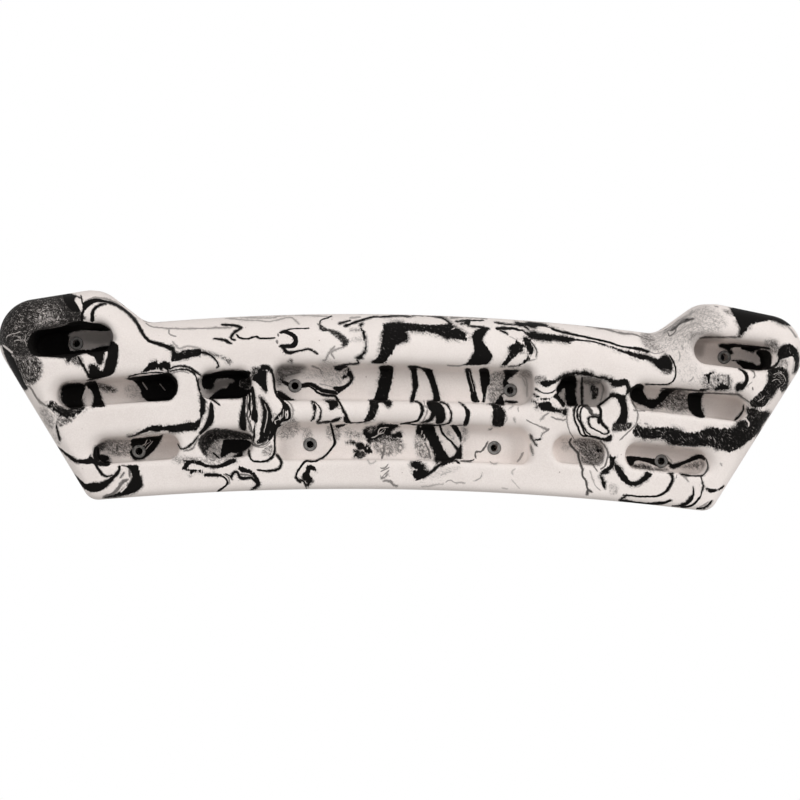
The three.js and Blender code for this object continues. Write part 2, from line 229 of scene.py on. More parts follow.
def outline_table(points, step):
    """For each node of a square grid: the signed distance to the nearest piece of the outline,
    positive inside, and the roll there. The sign is the side of that piece the node lies on. The
    roll runs evenly from one end of a piece to the other."""
    ends = np.roll(points, -1, axis=0)
    ways = ends - points
    lengths = np.linalg.norm(ways, axis=1)
    normals = np.column_stack([ways[:, 1], -ways[:, 0]]) / lengths[:, None]
    start_roll = roll_at(points, (normals + np.roll(normals, 1, axis=0)) / 2)
    end_roll = np.roll(start_roll, -1, axis=0)
    low, high = points.min(axis=0) - TABLE_MARGIN, points.max(axis=0) + TABLE_MARGIN
    xs, zs = (np.arange(a, b + step, step) for a, b in zip(low, high))
    distance = np.empty((len(xs), len(zs)))
    roll = np.empty((len(xs), len(zs), 2))
    for i, x in enumerate(xs):
        offset = np.stack(np.broadcast_arrays(x - points[:, 0], (zs[:, None] - points[:, 1])), -1)
        share = np.clip((offset * ways).sum(-1) / lengths ** 2, 0, 1)
        away = offset - share[..., None] * ways
        reach = np.linalg.norm(away, axis=-1)
        nearest = reach.argmin(axis=1)
        row = np.arange(len(zs))
        side = np.sign(-(away[row, nearest] * normals[nearest]).sum(-1))
        distance[i] = side * reach[row, nearest]
        weight = (lengths / (reach ** 2 + ROLL_BLEND ** 2) ** 2)[..., None]
        rolls = start_roll + (end_roll - start_roll) * share[..., None]
        roll[i] = (weight * rolls).sum(1) / weight.sum(1)
    return xs, zs, np.dstack([distance, roll])


table_x, table_z, table = outline_table(outline, TABLE_STEP)


def look_up(x, z):
    """Bilinear reading of the table at scattered points."""
    u = np.clip((x - table_x[0]) / TABLE_STEP, 0, len(table_x) - JUST_PAST_END)
    w = np.clip((z - table_z[0]) / TABLE_STEP, 0, len(table_z) - JUST_PAST_END)
    i, k = u.astype(int), w.astype(int)
    u, w = (u - i)[..., None], (w - k)[..., None]
    return ((table[i, k] * (1 - u) + table[i + 1, k] * u) * (1 - w)
            + (table[i, k + 1] * (1 - u) + table[i + 1, k + 1] * u) * w)


print("table:", table.shape)

# %% [markdown]
# ## The casting as a field
# A skin that runs unbroken over a beam, round a lip, down a wall, across a floor and into the next
# hold can't be one sheet of two parameters, because twelve holds are sunk into it. So the shape is
# written as a field instead: a number at every point of space that is positive in the resin, zero
# on its skin and negative in the air. Every part of it is still a short formula over whole arrays,
# and wherever two faces meet, one formula gives the rounded edge, as a mould maker's cutter does.

# %% Field of the resin
SIDE_DRAFT = 1.2
LIP_BLEND, BLEND_RANGE, NO_HOLD_NEAR = 2.5, (-5, 60), 1e3
LEAST_SLOPE, AT_CENTRE, TINY, LEAST_WEIGHT = 1e-6, 1e-3, 1e-9, 1e-12


def rounded_meeting(a, b, radius):
    """Depth below a solid's skin where two faces meet in a rounded edge, from the depths below
    each face: min(a, b), but radius - hypot(radius - a, radius - b) where both are under radius."""
    corner = radius - np.hypot(radius - a, radius - b)
    return np.where((a < radius) & (b < radius), corner, np.minimum(a, b))


def body_depth(x, depth, z):
    """Depth below the body's skin before any hold is sunk: the edge is a quarter ellipse, and the
    sides lean in by the draft. Depth in an ellipse is k (1 - k) / k', with k = |p / axes| and
    k' = |p / axes squared|, where p is taken from the ellipse's centre."""
    inside, inset, reach = np.moveaxis(look_up(x, z), -1, 0)
    lean = SIDE_DRAFT * np.clip((BOARD_DEPTH - depth) / (BOARD_DEPTH - reach), 0, 1)
    inside = inside - lean
    p, q = np.maximum(inset - inside, 0), np.maximum(reach - depth, 0)
    k = np.hypot(p / inset, q / reach)
    slope = np.maximum(np.hypot(p / inset ** 2, q / reach ** 2), LEAST_SLOPE)
    return np.where((p > 0) | (q > 0), k * (1 - k) / slope + np.where(k < AT_CENTRE, reach, 0),
                    np.minimum(inside - inset, depth - reach) + np.minimum(inset, reach))


def hold_field(hold, along, level, depth):
    """Distance outside one hold (positive in the resin) and the lip radius there. Across, a hold
    is a rounded rectangle whose ceiling falls and whose ledge may dip towards the floor."""
    top_lip, bottom_lip, start_lip, end_lip = hold["lips"]
    lip_depth = max(hold["lips"])
    inwards = np.clip((depth - lip_depth) / (hold["depth"] - lip_depth), 0, 1)
    top = hold["level"] + hold["height"] / 2 - CEILING_DROP * inwards
    bottom = hold["level"] - hold["height"] / 2 - hold["incut"] * inwards
    middle, half_height = (top + bottom) / 2, (top - bottom) / 2
    half_width = (hold["span"][1] - hold["span"][0]) / 2
    across, up = along - sum(hold["span"]) / 2, level - middle
    corner = np.minimum(np.where(up > 0, *hold["corners"]), ROUND_END * 2 * half_height)
    p, q = np.abs(across) - half_width + corner, np.abs(up) - half_height + corner
    wall = np.hypot(np.maximum(p, 0), np.maximum(q, 0)) + np.minimum(np.maximum(p, q), 0) - corner
    sideways = np.where((p > 0) & (q > 0), p ** 2 / (p ** 2 + q ** 2 + TINY), (p > q) * 1.0)
    upright_lip = np.where(up > 0, top_lip, bottom_lip)
    sideways_lip = np.where(across > 0, end_lip, start_lip)
    lip = upright_lip + (sideways_lip - upright_lip) * sideways
    below_floor = depth - hold["depth"]
    open_space = rounded_meeting(-wall, -below_floor, FLOOR_FILLET)
    outside = np.hypot(np.maximum(wall, 0), np.maximum(below_floor, 0))
    return np.where((wall > 0) | (below_floor > 0), outside, -open_space), lip


def resin_field(points):
    """Depth below the casting's skin, positive inside: the body's depth and the distance from the
    nearest hold meet in the hold's rounded lip."""
    x, y, z = points.T
    depth = y + BOARD_DEPTH
    along, level = arch_coordinates(x, z)
    body = body_depth(x, depth, z)
    nearest = np.full(len(x), NO_HOLD_NEAR)
    lip, weight = np.full(len(x), LEAST_WEIGHT), np.full(len(x), LEAST_WEIGHT)
    for hold in HOLDS.values():
        mirrored = along if hold["span"][0] < 0 else np.abs(along)
        distance, radius = hold_field(hold, mirrored, level, depth)
        nearest = np.minimum(nearest, distance)
        share = np.exp(-np.clip(distance, *BLEND_RANGE) / LIP_BLEND)
        lip += share * radius
        weight += share
    return rounded_meeting(body, nearest, lip / weight)


print("resin at the rail:", resin_field(np.array([[0.0, -40.0, -8.0]])).round(1), "mm deep")

# %% [markdown]
# ## From the field to a mesh
# The field is read on a grid, and each small cell that holds both resin and air gets one point
# near its crossing. Four cells round a crossed grid line give one quad. This is known as surface
# nets. The points then slide along the field's slope onto its exact zero, so the grid doesn't
# show. The grid ends at the wall, where the skin stays open for the flat back.

# %% Surface nets
CELL, BACK_CELL, WALL_CELL = 1.7, 2.4, 2.1
FRONT_CELL, FINE_DEPTH = 0.9 * CELL, 12.0


def grid_lines():
    """x and z run evenly. y is a little finer than them near the front and coarser towards the
    back, where walls run straight, and its last cell spans the back face."""
    low, high = outline.min(axis=0) - 2 * CELL, outline.max(axis=0) + 2 * CELL
    xs, zs = (np.arange(a, b + CELL, CELL) for a, b in zip(low, high))
    front = np.arange(-BOARD_DEPTH - 2 * CELL, -BOARD_DEPTH + FINE_DEPTH, FRONT_CELL)
    last = BACK_CELL / 2
    rest = np.linspace(front[-1], last, int(round((last - front[-1]) / WALL_CELL)) + 1)
    return xs, np.concatenate([front[:-1], rest]), zs


def surface_nets(field, lines):
    """One point per mixed cell, at the mean of the crossings on its edges, and one quad per
    crossed grid line, turned so that its face looks out of the resin."""
    nx, ny, nz = field.shape
    inside = field > 0
    cells = np.zeros((nx - 1, ny - 1, nz - 1), int)
    for i, j, k in np.ndindex(2, 2, 2):
        cells += inside[i:nx - 1 + i, j:ny - 1 + j, k:nz - 1 + k]
    mixed = (cells > 0) & (cells < 8)
    number = np.full(mixed.shape, -1)
    number[mixed] = np.arange(mixed.sum())
    home = np.argwhere(mixed)
    total, count = np.zeros((len(home), 3)), np.zeros(len(home))
    for axis in range(3):
        step = np.eye(3, dtype=int)[axis]
        others = [a for a in range(3) if a != axis]
        for u, w in np.ndindex(2, 2):
            start = home.copy()
            start[:, others[0]] += u
            start[:, others[1]] += w
            a, b = field[tuple(start.T)], field[tuple((start + step).T)]
            crossed = (a > 0) != (b > 0)
            share = np.where(crossed, a / np.where(crossed, a - b, 1), 0)
            place = np.column_stack([line[start[:, n]] for n, line in enumerate(lines)])
            line = lines[axis]
            place[:, axis] += share * (line[start[:, axis] + 1] - line[start[:, axis]])
            total += place * crossed[:, None]
            count += crossed
    quads = []
    for axis in range(3):
        a, b = [n for n in range(3) if n != axis]
        low = np.take(inside, range(field.shape[axis] - 1), axis)
        high = np.take(inside, range(1, field.shape[axis]), axis)
        crossed = np.argwhere(low != high)
        room = np.array(mixed.shape)
        crossed = crossed[(crossed[:, a] > 0) & (crossed[:, b] > 0)
                          & (crossed[:, a] < room[a]) & (crossed[:, b] < room[b])]
        ring = []
        for da, db in ((1, 1), (0, 1), (0, 0), (1, 0)):
            cell = crossed.copy()
            cell[:, a] -= da
            cell[:, b] -= db
            ring.append(number[tuple(cell.T)])
        ring = np.column_stack(ring)
        outwards = low[tuple(crossed.T)] ^ (axis == 1)
        quads.append(np.where(outwards[:, None], ring, ring[:, ::-1]))
    return total / count[:, None], np.vstack(quads)


lines = grid_lines()
mesh_grid = np.stack(np.meshgrid(*lines, indexing="ij"), -1).reshape(-1, 3)
field = resin_field(mesh_grid).reshape([len(line) for line in lines])
points, quads = surface_nets(field, lines)
print("grid:", field.shape, "points:", len(points), "quads:", len(quads))

# %% Slide the points onto the field's zero
BACK_BAND = 0.6 * BACK_CELL
LEAST_STEEPNESS = 0.25
on_back = points[:, 1] > -BACK_BAND


def slope_of(points, reach=0.05):
    """The field's slope along x, y and z: (field ahead - field behind) / twice the reach."""
    steps = np.eye(3) * reach
    return np.column_stack([resin_field(points + s) - resin_field(points - s)
                            for s in steps]) / (2 * reach)


def even_out(points, quads, rounds=2):
    """Each point moves halfway to the mean of its neighbours, then back onto the skin."""
    for _ in range(rounds):
        total, count = np.zeros_like(points), np.zeros(len(points))
        for a, b in ((0, 1), (1, 2), (2, 3), (3, 0)):
            np.add.at(total, quads[:, a], points[quads[:, b]])
            np.add.at(total, quads[:, b], points[quads[:, a]])
            np.add.at(count, quads[:, a], 1)
            np.add.at(count, quads[:, b], 1)
        moved = (points + total / np.maximum(count, 1)[:, None]) / 2
        moved[on_back] = points[on_back]
        points = onto_skin(moved)
    return points


def onto_skin(points, rounds=2):
    """Newton's step: a point moves by field / |slope| down the slope; on the back it stays in
    the plane of the back."""
    for _ in range(rounds):
        slope = slope_of(points)
        slope[on_back, 1] = 0
        steepness = np.maximum((slope ** 2).sum(1), LEAST_STEEPNESS)
        step = slope * (resin_field(points) / steepness)[:, None]
        points = points - np.clip(step, -CELL / 2, CELL / 2)
    return points


points[on_back, 1] = 0
points = even_out(onto_skin(points), quads)
print("left from the skin:", np.abs(resin_field(points)).max().round(3), "mm at most")

# %% [markdown]
# ## The flat back and the screw holes
# The open rim at the back is filled with one flat face, as the mould's open side leaves it. The
# eight screw holes are drilled after casting: a stepped cutter, wide for the washer and narrow for
# the screw, is turned for each and taken away from the board. The cut leaves doubled points and
# slivers along the flat back's rim. They are merged, many-cornered faces are split and the last
# small holes are filled, so that every edge has two faces and the mesh could be printed.

# %% Build the board's mesh
WASHERS = sorted(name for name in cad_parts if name.startswith("washer_"))
RECESS_RADIUS, BORE_RADIUS = 5.3, 2.85
RECESS_DEPTH, WASHER_THICKNESS = 1.3, 1.0
BOARD_CREASE, WASHER_CREASE = np.radians([50, 40])


def new_object(name, mesh):
    piece = bpy.data.objects.new(name, mesh)
    bpy.context.scene.collection.objects.link(piece)
    return piece


def new_mesh(name, points, faces):
    mesh = bpy.data.meshes.new(name)
    mesh.from_pydata((points * MM).tolist(), [], faces.tolist())
    return mesh


def turned(profile, sides, centre):
    """A solid turned about the line along Y through `centre`: profile rows are (radius, y)."""
    t = np.arange(sides) * 2 * np.pi / sides
    radius, y = profile.T[:, :, None]
    rings = np.stack([radius * np.cos(t), y + 0 * t, radius * np.sin(t)], -1) + centre
    i, j = np.meshgrid(np.arange(len(profile)), np.arange(sides), indexing="ij")
    following, beside = (i + 1) % len(profile), (j + 1) % sides
    faces = np.stack([i * sides + j, following * sides + j, following * sides + beside,
                      i * sides + beside], -1)
    return rings.reshape(-1, 3), faces.reshape(-1, 4)


def washer_seat(name):
    """The middle of the washer's front face."""
    low, high = np.array(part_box(name)) / MM
    return np.array([(low[0] + high[0]) / 2, low[1], (low[2] + high[2]) / 2])


seats = {name: washer_seat(name) for name in WASHERS}

mesh = new_mesh("marbled_board", points, quads)
built = bmesh.new()
built.from_mesh(mesh)
bmesh.ops.delete(built, geom=[v for v in built.verts if not v.link_faces], context="VERTS")
rim = [edge for edge in built.edges if edge.is_boundary]
bmesh.ops.contextual_create(built, geom=rim)
bmesh.ops.recalc_face_normals(built, faces=built.faces)
built.to_mesh(mesh)
built.free()
board = new_object("marbled_board", mesh)
print("rim:", len(rim), "faces:", len(mesh.polygons))

# %% Drill the screw holes
CUTTER_OVERRUN, CUTTER_AXIS, CUTTER_SIDES = 6.0, 1e-3, 40
POLE_MERGE = 3e-6


def cutter_profile(seat_y):
    """Rows of (radius, y from the seat), past the board's skin in front and behind."""
    behind = CUTTER_OVERRUN - seat_y
    return np.array([(CUTTER_AXIS, -CUTTER_OVERRUN), (RECESS_RADIUS, -CUTTER_OVERRUN),
                     (RECESS_RADIUS, RECESS_DEPTH), (BORE_RADIUS, RECESS_DEPTH),
                     (BORE_RADIUS, behind), (CUTTER_AXIS, behind)])


cut_points, cut_faces = [], []
for seat in seats.values():
    ring_points, ring_faces = turned(cutter_profile(seat[1]), CUTTER_SIDES, seat)
    cut_faces.append(ring_faces + len(ring_points) * len(cut_points))
    cut_points.append(ring_points)
drill_mesh = new_mesh("drill", np.vstack(cut_points), np.vstack(cut_faces))
drill = new_object("drill", drill_mesh)
made = bmesh.new()
made.from_mesh(drill_mesh)
bmesh.ops.remove_doubles(made, verts=made.verts, dist=POLE_MERGE)
bmesh.ops.recalc_face_normals(made, faces=made.faces)
made.to_mesh(drill_mesh)
made.free()

cut = board.modifiers.new("screw_holes", "BOOLEAN")
cut.operation, cut.solver, cut.object = "DIFFERENCE", "EXACT", drill
bpy.context.view_layer.update()
drilled = bpy.data.meshes.new_from_object(board.evaluated_get(bpy.context.evaluated_depsgraph_get()))
board.modifiers.clear()
board.data = drilled

# %% Close the seams of the flat back
SEAM, MOST_SIDES = 2e-5, 6
made = bmesh.new()
made.from_mesh(drilled)
bmesh.ops.remove_doubles(made, verts=made.verts, dist=SEAM)
bmesh.ops.triangulate(made, faces=[face for face in made.faces if len(face.verts) > 4],
                      ngon_method="BEAUTY")
bmesh.ops.holes_fill(made, edges=[edge for edge in made.edges if edge.is_boundary],
                     sides=MOST_SIDES)
made.to_mesh(drilled)
print("edges without two faces:", sum(len(edge.link_faces) != 2 for edge in made.edges))
made.free()
bpy.data.objects.remove(drill)
board.data.shade_smooth()
board.data.set_sharp_from_angle(angle=BOARD_CREASE)
board.data.calc_loop_triangles()
print("drilled:", len(board.data.vertices), "points,", len(board.data.loop_triangles), "triangles")
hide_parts("board_casting")
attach(board, "root")

# %% [markdown]
# ## The washers
# Each screw hole has a plain stamped washer let into the floor of its hold. Stamping rolls the
# front edge over a little and leaves the back edge crisp, so the profile of the ring, turned about
# its screw's line, is round in front and only chamfered behind.

# %% Turn the washers
WASHER_HOLE, WASHER_OUTSIDE, WASHER_SIDES = 2.65, 5.0, 72
# Rows of (radius, depth below the front face), outwards in front and back to the hole behind.
washer_profile = np.array([
    (WASHER_HOLE + 0.18, 0), (WASHER_OUTSIDE - 0.35, 0), (WASHER_OUTSIDE - 0.15, 0.05),
    (WASHER_OUTSIDE - 0.04, 0.16), (WASHER_OUTSIDE, 0.35), (WASHER_OUTSIDE, WASHER_THICKNESS - 0.1),
    (WASHER_OUTSIDE - 0.1, WASHER_THICKNESS), (WASHER_HOLE + 0.1, WASHER_THICKNESS),
    (WASHER_HOLE, WASHER_THICKNESS - 0.1), (WASHER_HOLE, 0.22), (WASHER_HOLE + 0.05, 0.07)])

washers = []
for name, seat in seats.items():
    ring_points, ring_faces = turned(washer_profile, WASHER_SIDES, seat)
    ring_mesh = new_mesh("turned_" + name, ring_points, ring_faces)
    made = bmesh.new()
    made.from_mesh(ring_mesh)
    bmesh.ops.recalc_face_normals(made, faces=made.faces)
    made.to_mesh(ring_mesh)
    made.free()
    ring_mesh.shade_smooth()
    ring_mesh.set_sharp_from_angle(angle=WASHER_CREASE)
    washer = new_object("turned_" + name, ring_mesh)
    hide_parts(name)
    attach(washer, "root")
    washers.append(washer)
print("washers:", len(washers), "of", len(washer_profile) * WASHER_SIDES, "faces each")

# %% [markdown]
# ## The poured marbling
# Black pigment is poured into the white resin in the open mould, and the pour draws it out into
# bands, threads and smoke. No formula would put these bands where this board has them, so they are
# drawn: each stroke is a short list of places, read off the photograph as pixels from its left
# and top, and a smooth curve runs through them. Widths, softness and torn edges are in the
# same pixels, and all are turned into millimetres on the plane of the board's front further down.
# The tables run roughly from left to right. There are five kinds of stroke:
#
# - a patch is a closed curve, black inside, with how far its edge is torn and how flecked it is; two patches
#   in holds are black ink and painted shade together
# - a line is an open curve with its widths from start to end and its strength; three lines under lips are
#   ink and painted shadow together
# - a pale line is the same in white, drawn over the black
# - smoke is a closed curve with a density and a soft edge, and breaks up into specks and cells; in a few
#   holds the smoke is painted shade as well
# - a painted shade is a closed curve with a soft edge that darkens the white resin brown-grey where the ends
#   and tops of holds lie in shade

# %% Patches, as (torn, flecked, places)
PATCHES = [
    # left jug
    (0.3, 0.2, [30, 336, 36, 331, 60, 327, 72, 322, 82, 321, 92, 323, 100, 324, 110, 330, 100, 331, 85, 330,
      75, 331, 68, 334, 69, 338, 68, 346, 70, 350, 70, 355, 68, 358, 50, 357, 36, 356, 30, 352, 27, 345]),
    (0.4, 0.1, [70, 352, 80, 350, 90, 350, 100, 347, 112, 346, 118, 344, 116, 350, 104, 352, 100, 356,
      92, 356, 84, 353, 72, 358, 68, 356]),
    (1, 0.2, [68, 352, 74, 353, 69, 362, 66, 359]),
    (0.8, 0.2, [90, 365, 94, 365, 98, 369, 104, 373, 101, 377, 91, 379, 89, 375]),
    (1, 0.2, [92, 350, 103, 350, 104, 356, 102, 362, 99, 366, 95, 358, 92, 355]),
    (0.6, 0.5, [2, 345, 13, 357, 25, 384, 28, 389, 22, 388, 14, 374, 6, 358]),
    (1.2, 0.9, [47, 404.5, 53, 401.3, 61, 407.5, 73, 410.5, 82, 406.5, 84.5, 407.5, 79, 414.5, 76, 413.5,
      73, 417, 69, 416, 67, 418.5, 64, 415.5, 60, 416, 57, 412, 53, 410.5, 51, 407.5, 48, 408]),
    # left four-finger pocket
    (1, 0.2, [61, 395, 62, 388, 66, 384.5, 76, 383, 84, 384, 85, 389, 83, 394, 82, 400, 83, 405, 80, 409,
      74, 410, 68, 407, 63, 402]),
    (0.4, 0.1, [86, 382.5, 92, 381.5, 97, 383, 102, 400, 105, 406.5, 98, 407, 92, 407, 94, 401, 93.5, 394,
      87, 386]),
    (0.3, 0.15, [128, 378, 160, 374, 168, 373, 172, 374.5, 176, 379, 178, 386, 177, 392, 173, 398,
      167, 400.5, 150, 401.5, 145, 399, 141.5, 394, 141, 389, 134, 381, 130, 380]),
    (0.8, 0.1, [141, 373, 144, 370, 150, 362.5, 154, 362, 156, 360, 158, 363, 160, 364, 162, 361, 169, 363,
      170, 366, 168, 373.5, 167, 370, 164, 368, 162, 370.5, 159, 369, 157, 367, 155, 370, 151, 370]),
    # right side of the left hump
    (0.2, 0, [82.5, 305, 85, 301.5, 96, 298.3, 110, 302, 110, 303.4, 97, 302, 88, 307, 85, 310.5, 83, 309]),
    (0.6, 0.5, [170, 345, 173, 347, 175, 351, 178, 353.5, 183, 351, 200, 349, 200, 355, 192, 357, 176, 361,
      171, 361.5, 172, 356, 171.5, 350]),
    (0.3, 0.1, [111, 342, 115, 342.5, 117.5, 347, 118, 354, 115, 369, 110, 375.5, 86, 381, 98, 376,
      102, 373.5, 105, 364, 109, 350]),
    # arcs between the left pockets
    (0.8, 0.2, [128, 436.5, 134, 435, 148, 427, 160, 425.5, 164, 427, 168, 425.5, 172, 425.5, 188, 422.5,
      194, 422.5, 198, 420, 200, 416, 200, 394, 203, 397, 205, 401, 204.5, 411, 202, 416, 198, 428,
      194, 430.5, 182, 431, 176, 432, 170, 431.5, 166, 430, 160, 431.5, 152, 431, 146, 432, 134, 436.5]),
    (0.4, 0.1, [210, 401, 213.5, 408, 213.5, 420, 211, 425, 200, 435, 200, 431, 204, 427, 209, 414]),
    # left three-finger pocket
    (0.4, 0, [94, 448, 99, 448, 99, 464, 94, 464]),
    (0.6, 0.2, [100, 455.5, 104, 455, 108, 457, 109.5, 460, 104, 461.5, 99, 460]),
    (0.6, 0.2, [99, 462, 106, 461, 110, 462.5, 109, 466, 104, 466.5, 99, 465]),
    (0.5, 0, [116.5, 447, 118, 447, 118, 454, 116.5, 454, 117, 450]),
    (0.6, 0.1, [132, 439, 140, 438, 158, 436, 163, 435.5, 155, 449, 146, 457, 140, 459.5, 134, 459,
      129.5, 452, 132, 449, 131, 444]),
    (0.6, 0.1, [126, 465.5, 138, 465.5, 139, 469, 141.5, 480, 141.5, 487, 133, 493, 118, 496.5, 104, 497.5,
      118, 493, 130, 482.5, 132, 478, 131.5, 473, 129, 469]),
    (0.3, 0, [57, 446, 74, 458, 80, 460, 88.5, 458, 90, 453.5, 91.3, 458, 93, 462, 91, 464, 78, 463,
      71, 459.5, 60, 450]),
    (0.3, 0, [75, 475, 85, 483.5, 92, 482.8, 99, 483, 106, 480.5, 116.5, 472, 118.5, 467.5, 118, 466,
      120.5, 466, 120.3, 471, 116.5, 476, 106, 487.5, 95, 492, 84, 488.5]),
    (0.6, 0, [178, 457.5, 182, 459.5, 187, 460.5, 192, 460, 197, 461, 201, 460.5, 201, 465, 192, 463.2,
      187.5, 467, 190, 469.5, 201, 470, 201, 472, 196, 472.3, 192, 473.5, 190, 475.5, 189.5, 472, 186, 470,
      182, 469, 185, 463]),
    # upper left two-finger pocket
    # black ink and painted shade: the dark top of the upper left two-finger pocket
    (0.5, 0.1, [203, 376, 211, 374, 222, 371, 248, 371, 250, 375, 244, 379, 224, 378, 215, 380, 212, 388,
      203, 388]),
    (0.5, 0.1, [209, 398, 220, 390, 228, 388, 229, 384, 233, 384, 235, 382, 235, 378, 237, 375, 240, 378,
      239, 384, 241, 388, 248, 390, 252, 389, 250, 393, 240, 398, 210, 398.5]),
    # left of the slots
    (0.5, 0.2, [242.5, 396, 246, 396, 245.8, 402, 245, 414, 246, 420, 246, 428, 244.5, 431, 240.5, 428,
      239.7, 421, 241.5, 408, 243, 403]),
    (0.4, 0.1, [251, 388, 254, 389, 255.5, 403, 258, 417, 256.5, 424, 254.5, 440, 253, 440, 253.5, 430,
      254.5, 422, 251.5, 419, 251.5, 413, 252.7, 408]),
    (0.5, 0.5, [259.5, 396.5, 263, 399, 269.5, 408, 272, 420, 268.5, 436, 265, 441.5, 258, 444, 256.5, 441.5,
      259.5, 438, 260, 430, 263.5, 412]),
    (0.5, 0.3, [259, 368, 262, 370.5, 266.2, 371, 265.8, 380, 267, 393, 257, 382, 252.5, 380.5, 253, 377,
      257, 373]),
    (0.2, 0, [260, 366, 265, 364.8, 270, 367, 273, 372, 275, 380, 275.3, 387, 277, 393, 281, 399,
      289.5, 406.5, 290.5, 417.5, 286.5, 421, 281, 423, 272, 438, 268.5, 441, 270.5, 433, 273, 421,
      280, 412.5, 282.5, 407, 281.5, 402.5, 274.8, 393.5, 272.5, 378, 270.5, 372, 267, 369.5, 262.5, 370]),
    # left end of the upper slot
    (0.5, 0.1, [280, 378, 283, 380, 291, 384, 290, 387, 282, 383]),
    (0.5, 0.1, [277, 391, 281, 392, 290, 398, 295, 400, 284, 400.5, 280, 399, 277.5, 395]),
    # lower left two-finger pocket
    (0.6, 0.2, [223, 442, 226, 440, 240, 439, 250, 441, 251, 444, 248, 448, 242, 452, 242, 456, 232, 457.5,
      240, 453, 229, 453, 226, 456, 222, 457.5, 220.5, 456]),
    (0.4, 0.1, [200, 461.5, 209, 465, 219, 464.5, 228, 460, 235, 459, 235.5, 462, 231, 464, 222, 467.5,
      209, 468, 200, 465]),
    (0.4, 0.1, [200, 471.5, 203, 473, 204, 477, 206, 476.5, 220, 477, 222, 476, 220, 474, 205, 473]),
    (0.5, 0.1, [237.5, 464.5, 240, 466.5, 249, 469.5, 256, 474.5, 260, 483, 258, 487, 250, 490.5, 256, 484.5,
      256, 481, 250, 473.5, 240, 471.5]),
    # middle of the beam
    (0.6, 0.1, [360, 324, 363, 323.5, 361.5, 327, 363, 330, 365, 331, 365.5, 336, 366.5, 349, 365, 353,
      362, 356, 363, 358.5, 359, 359, 358.5, 363, 357, 363.5, 357, 359, 355, 358, 361, 355, 364, 351,
      365, 342, 363, 339, 363, 335, 360, 328]),
    (1.2, 0.5, [383, 325, 386, 323.5, 400, 322.5, 430, 325, 446, 324, 449, 323, 443, 318, 447, 320, 455, 327,
      464, 332, 466, 334, 466, 337, 467, 341, 453, 338, 450, 336.5, 448, 339, 445, 337, 428, 332, 405, 331,
      407, 334, 407, 342, 403, 341, 396, 346, 393, 352, 386, 361, 385, 363, 371, 362.5, 376, 359.5, 381, 348,
      383, 332]),
    (0.4, 0.1, [463, 321, 466, 319.5, 470, 320, 470, 325, 468, 325.8, 466, 324, 462, 324.3, 461, 323.5,
      466, 322.5]),
    (0.5, 0, [480, 326.8, 489, 329, 487, 330.8, 482, 339.5, 484, 343, 492, 355, 490, 361, 484, 364.5,
      463.5, 365, 467, 363, 472.5, 356, 474.5, 348, 472, 336.5, 474, 334.5, 475, 331, 481, 328.5]),
    # right part of the beam
    (0.7, 0.4, [515, 322, 526, 323, 530, 321.8, 545, 324, 550, 327, 562, 331, 556, 331.2, 548, 327.3,
      538, 326, 534, 327.8, 526, 325.5, 522, 326.5, 518, 325.5]),
    (1, 0.5, [524, 332, 530, 333, 531, 331.5, 535, 332, 540, 334, 545, 333.3, 570, 337, 576, 339, 584, 340.2,
      570, 341.5, 571, 343.5, 558, 340.5, 552, 339.5, 549, 340.5, 532, 338.5]),
    (0.9, 0.5, [516, 340, 523, 345, 524, 347, 522, 349, 523, 351, 520, 352, 511, 360, 507, 365, 502, 366,
      504, 362, 510, 352, 509, 348, 512, 344.5, 515, 343]),
    (0.8, 0.5, [525, 337, 530, 340, 533, 350, 532.5, 354, 530, 354.5, 529, 360, 518, 366, 528, 357,
      528.5, 352, 523, 340]),
    (0.4, 0.2, [630, 346.8, 641, 347.8, 646, 350, 651, 351.8, 646, 352.4, 640, 350.6, 630, 348.7]),
    (1, 0.4, [600, 343, 624, 350.5, 640, 353.5, 654, 358, 660, 358.5, 665, 355, 671, 360, 673, 369,
      670, 370.5, 668, 369, 662, 369.5, 658, 368, 651, 361, 638, 358.5, 608, 346.8, 600, 344.8]),
    # floor of the upper slot
    (0.5, 0.1, [334, 367, 345, 365.5, 348, 367.5, 352.5, 375, 353, 379, 351, 383.5, 345, 389, 337, 394,
      337, 392, 333, 389, 334, 386.5, 343, 386, 350, 381, 349, 376, 343, 379, 343, 376, 347, 375, 348, 371,
      346, 367.5, 338, 371]),
    (0.8, 0.35, [380, 366, 392, 366, 393, 373, 390.5, 388, 388, 394, 387, 401, 378, 401, 374, 400, 378, 387,
      378.5, 380, 381, 377, 380, 371]),
    (0.5, 0.3, [371, 362, 376, 360, 386, 360, 384, 363, 376, 363.5]),
    # rail
    (0.3, 0.3, [312, 402.5, 315, 404, 316.5, 408, 316, 411, 314, 411]),
    (0.6, 0, [324, 400.5, 337, 400.5, 338, 404, 339, 407.5, 337, 407, 336, 405.5, 334, 409.5, 330, 410,
      329.5, 406, 328, 403]),
    (0.3, 0, [344, 418, 345, 415.5, 346.5, 416, 350, 421.5, 352, 423, 345, 423]),
    (0.3, 0.2, [331, 421, 335, 418.5, 339, 418.5, 338, 421, 331, 422.5]),
    (0.7, 0.5, [368, 400, 381, 399, 386, 400.5, 390, 400, 391.5, 403, 389, 407.5, 384, 403, 378, 403.5,
      378.5, 406, 375, 416, 372, 420, 364, 422, 369, 411, 370, 402]),
    (0.4, 0.2, [335, 426, 338, 424.5, 346, 424.5, 338, 428]),
    (0.3, 0, [429, 401.5, 439, 402.5, 445, 411, 444.5, 420.5, 441, 423.5, 436, 423.5, 436.5, 418, 435, 415,
      431, 421, 420, 423, 429, 419, 432, 411, 430, 403]),
    (0.2, 0, [458, 402, 462, 403, 469, 410, 470, 415, 468, 424, 465, 425.5, 463, 424.5, 466, 415, 463, 406]),
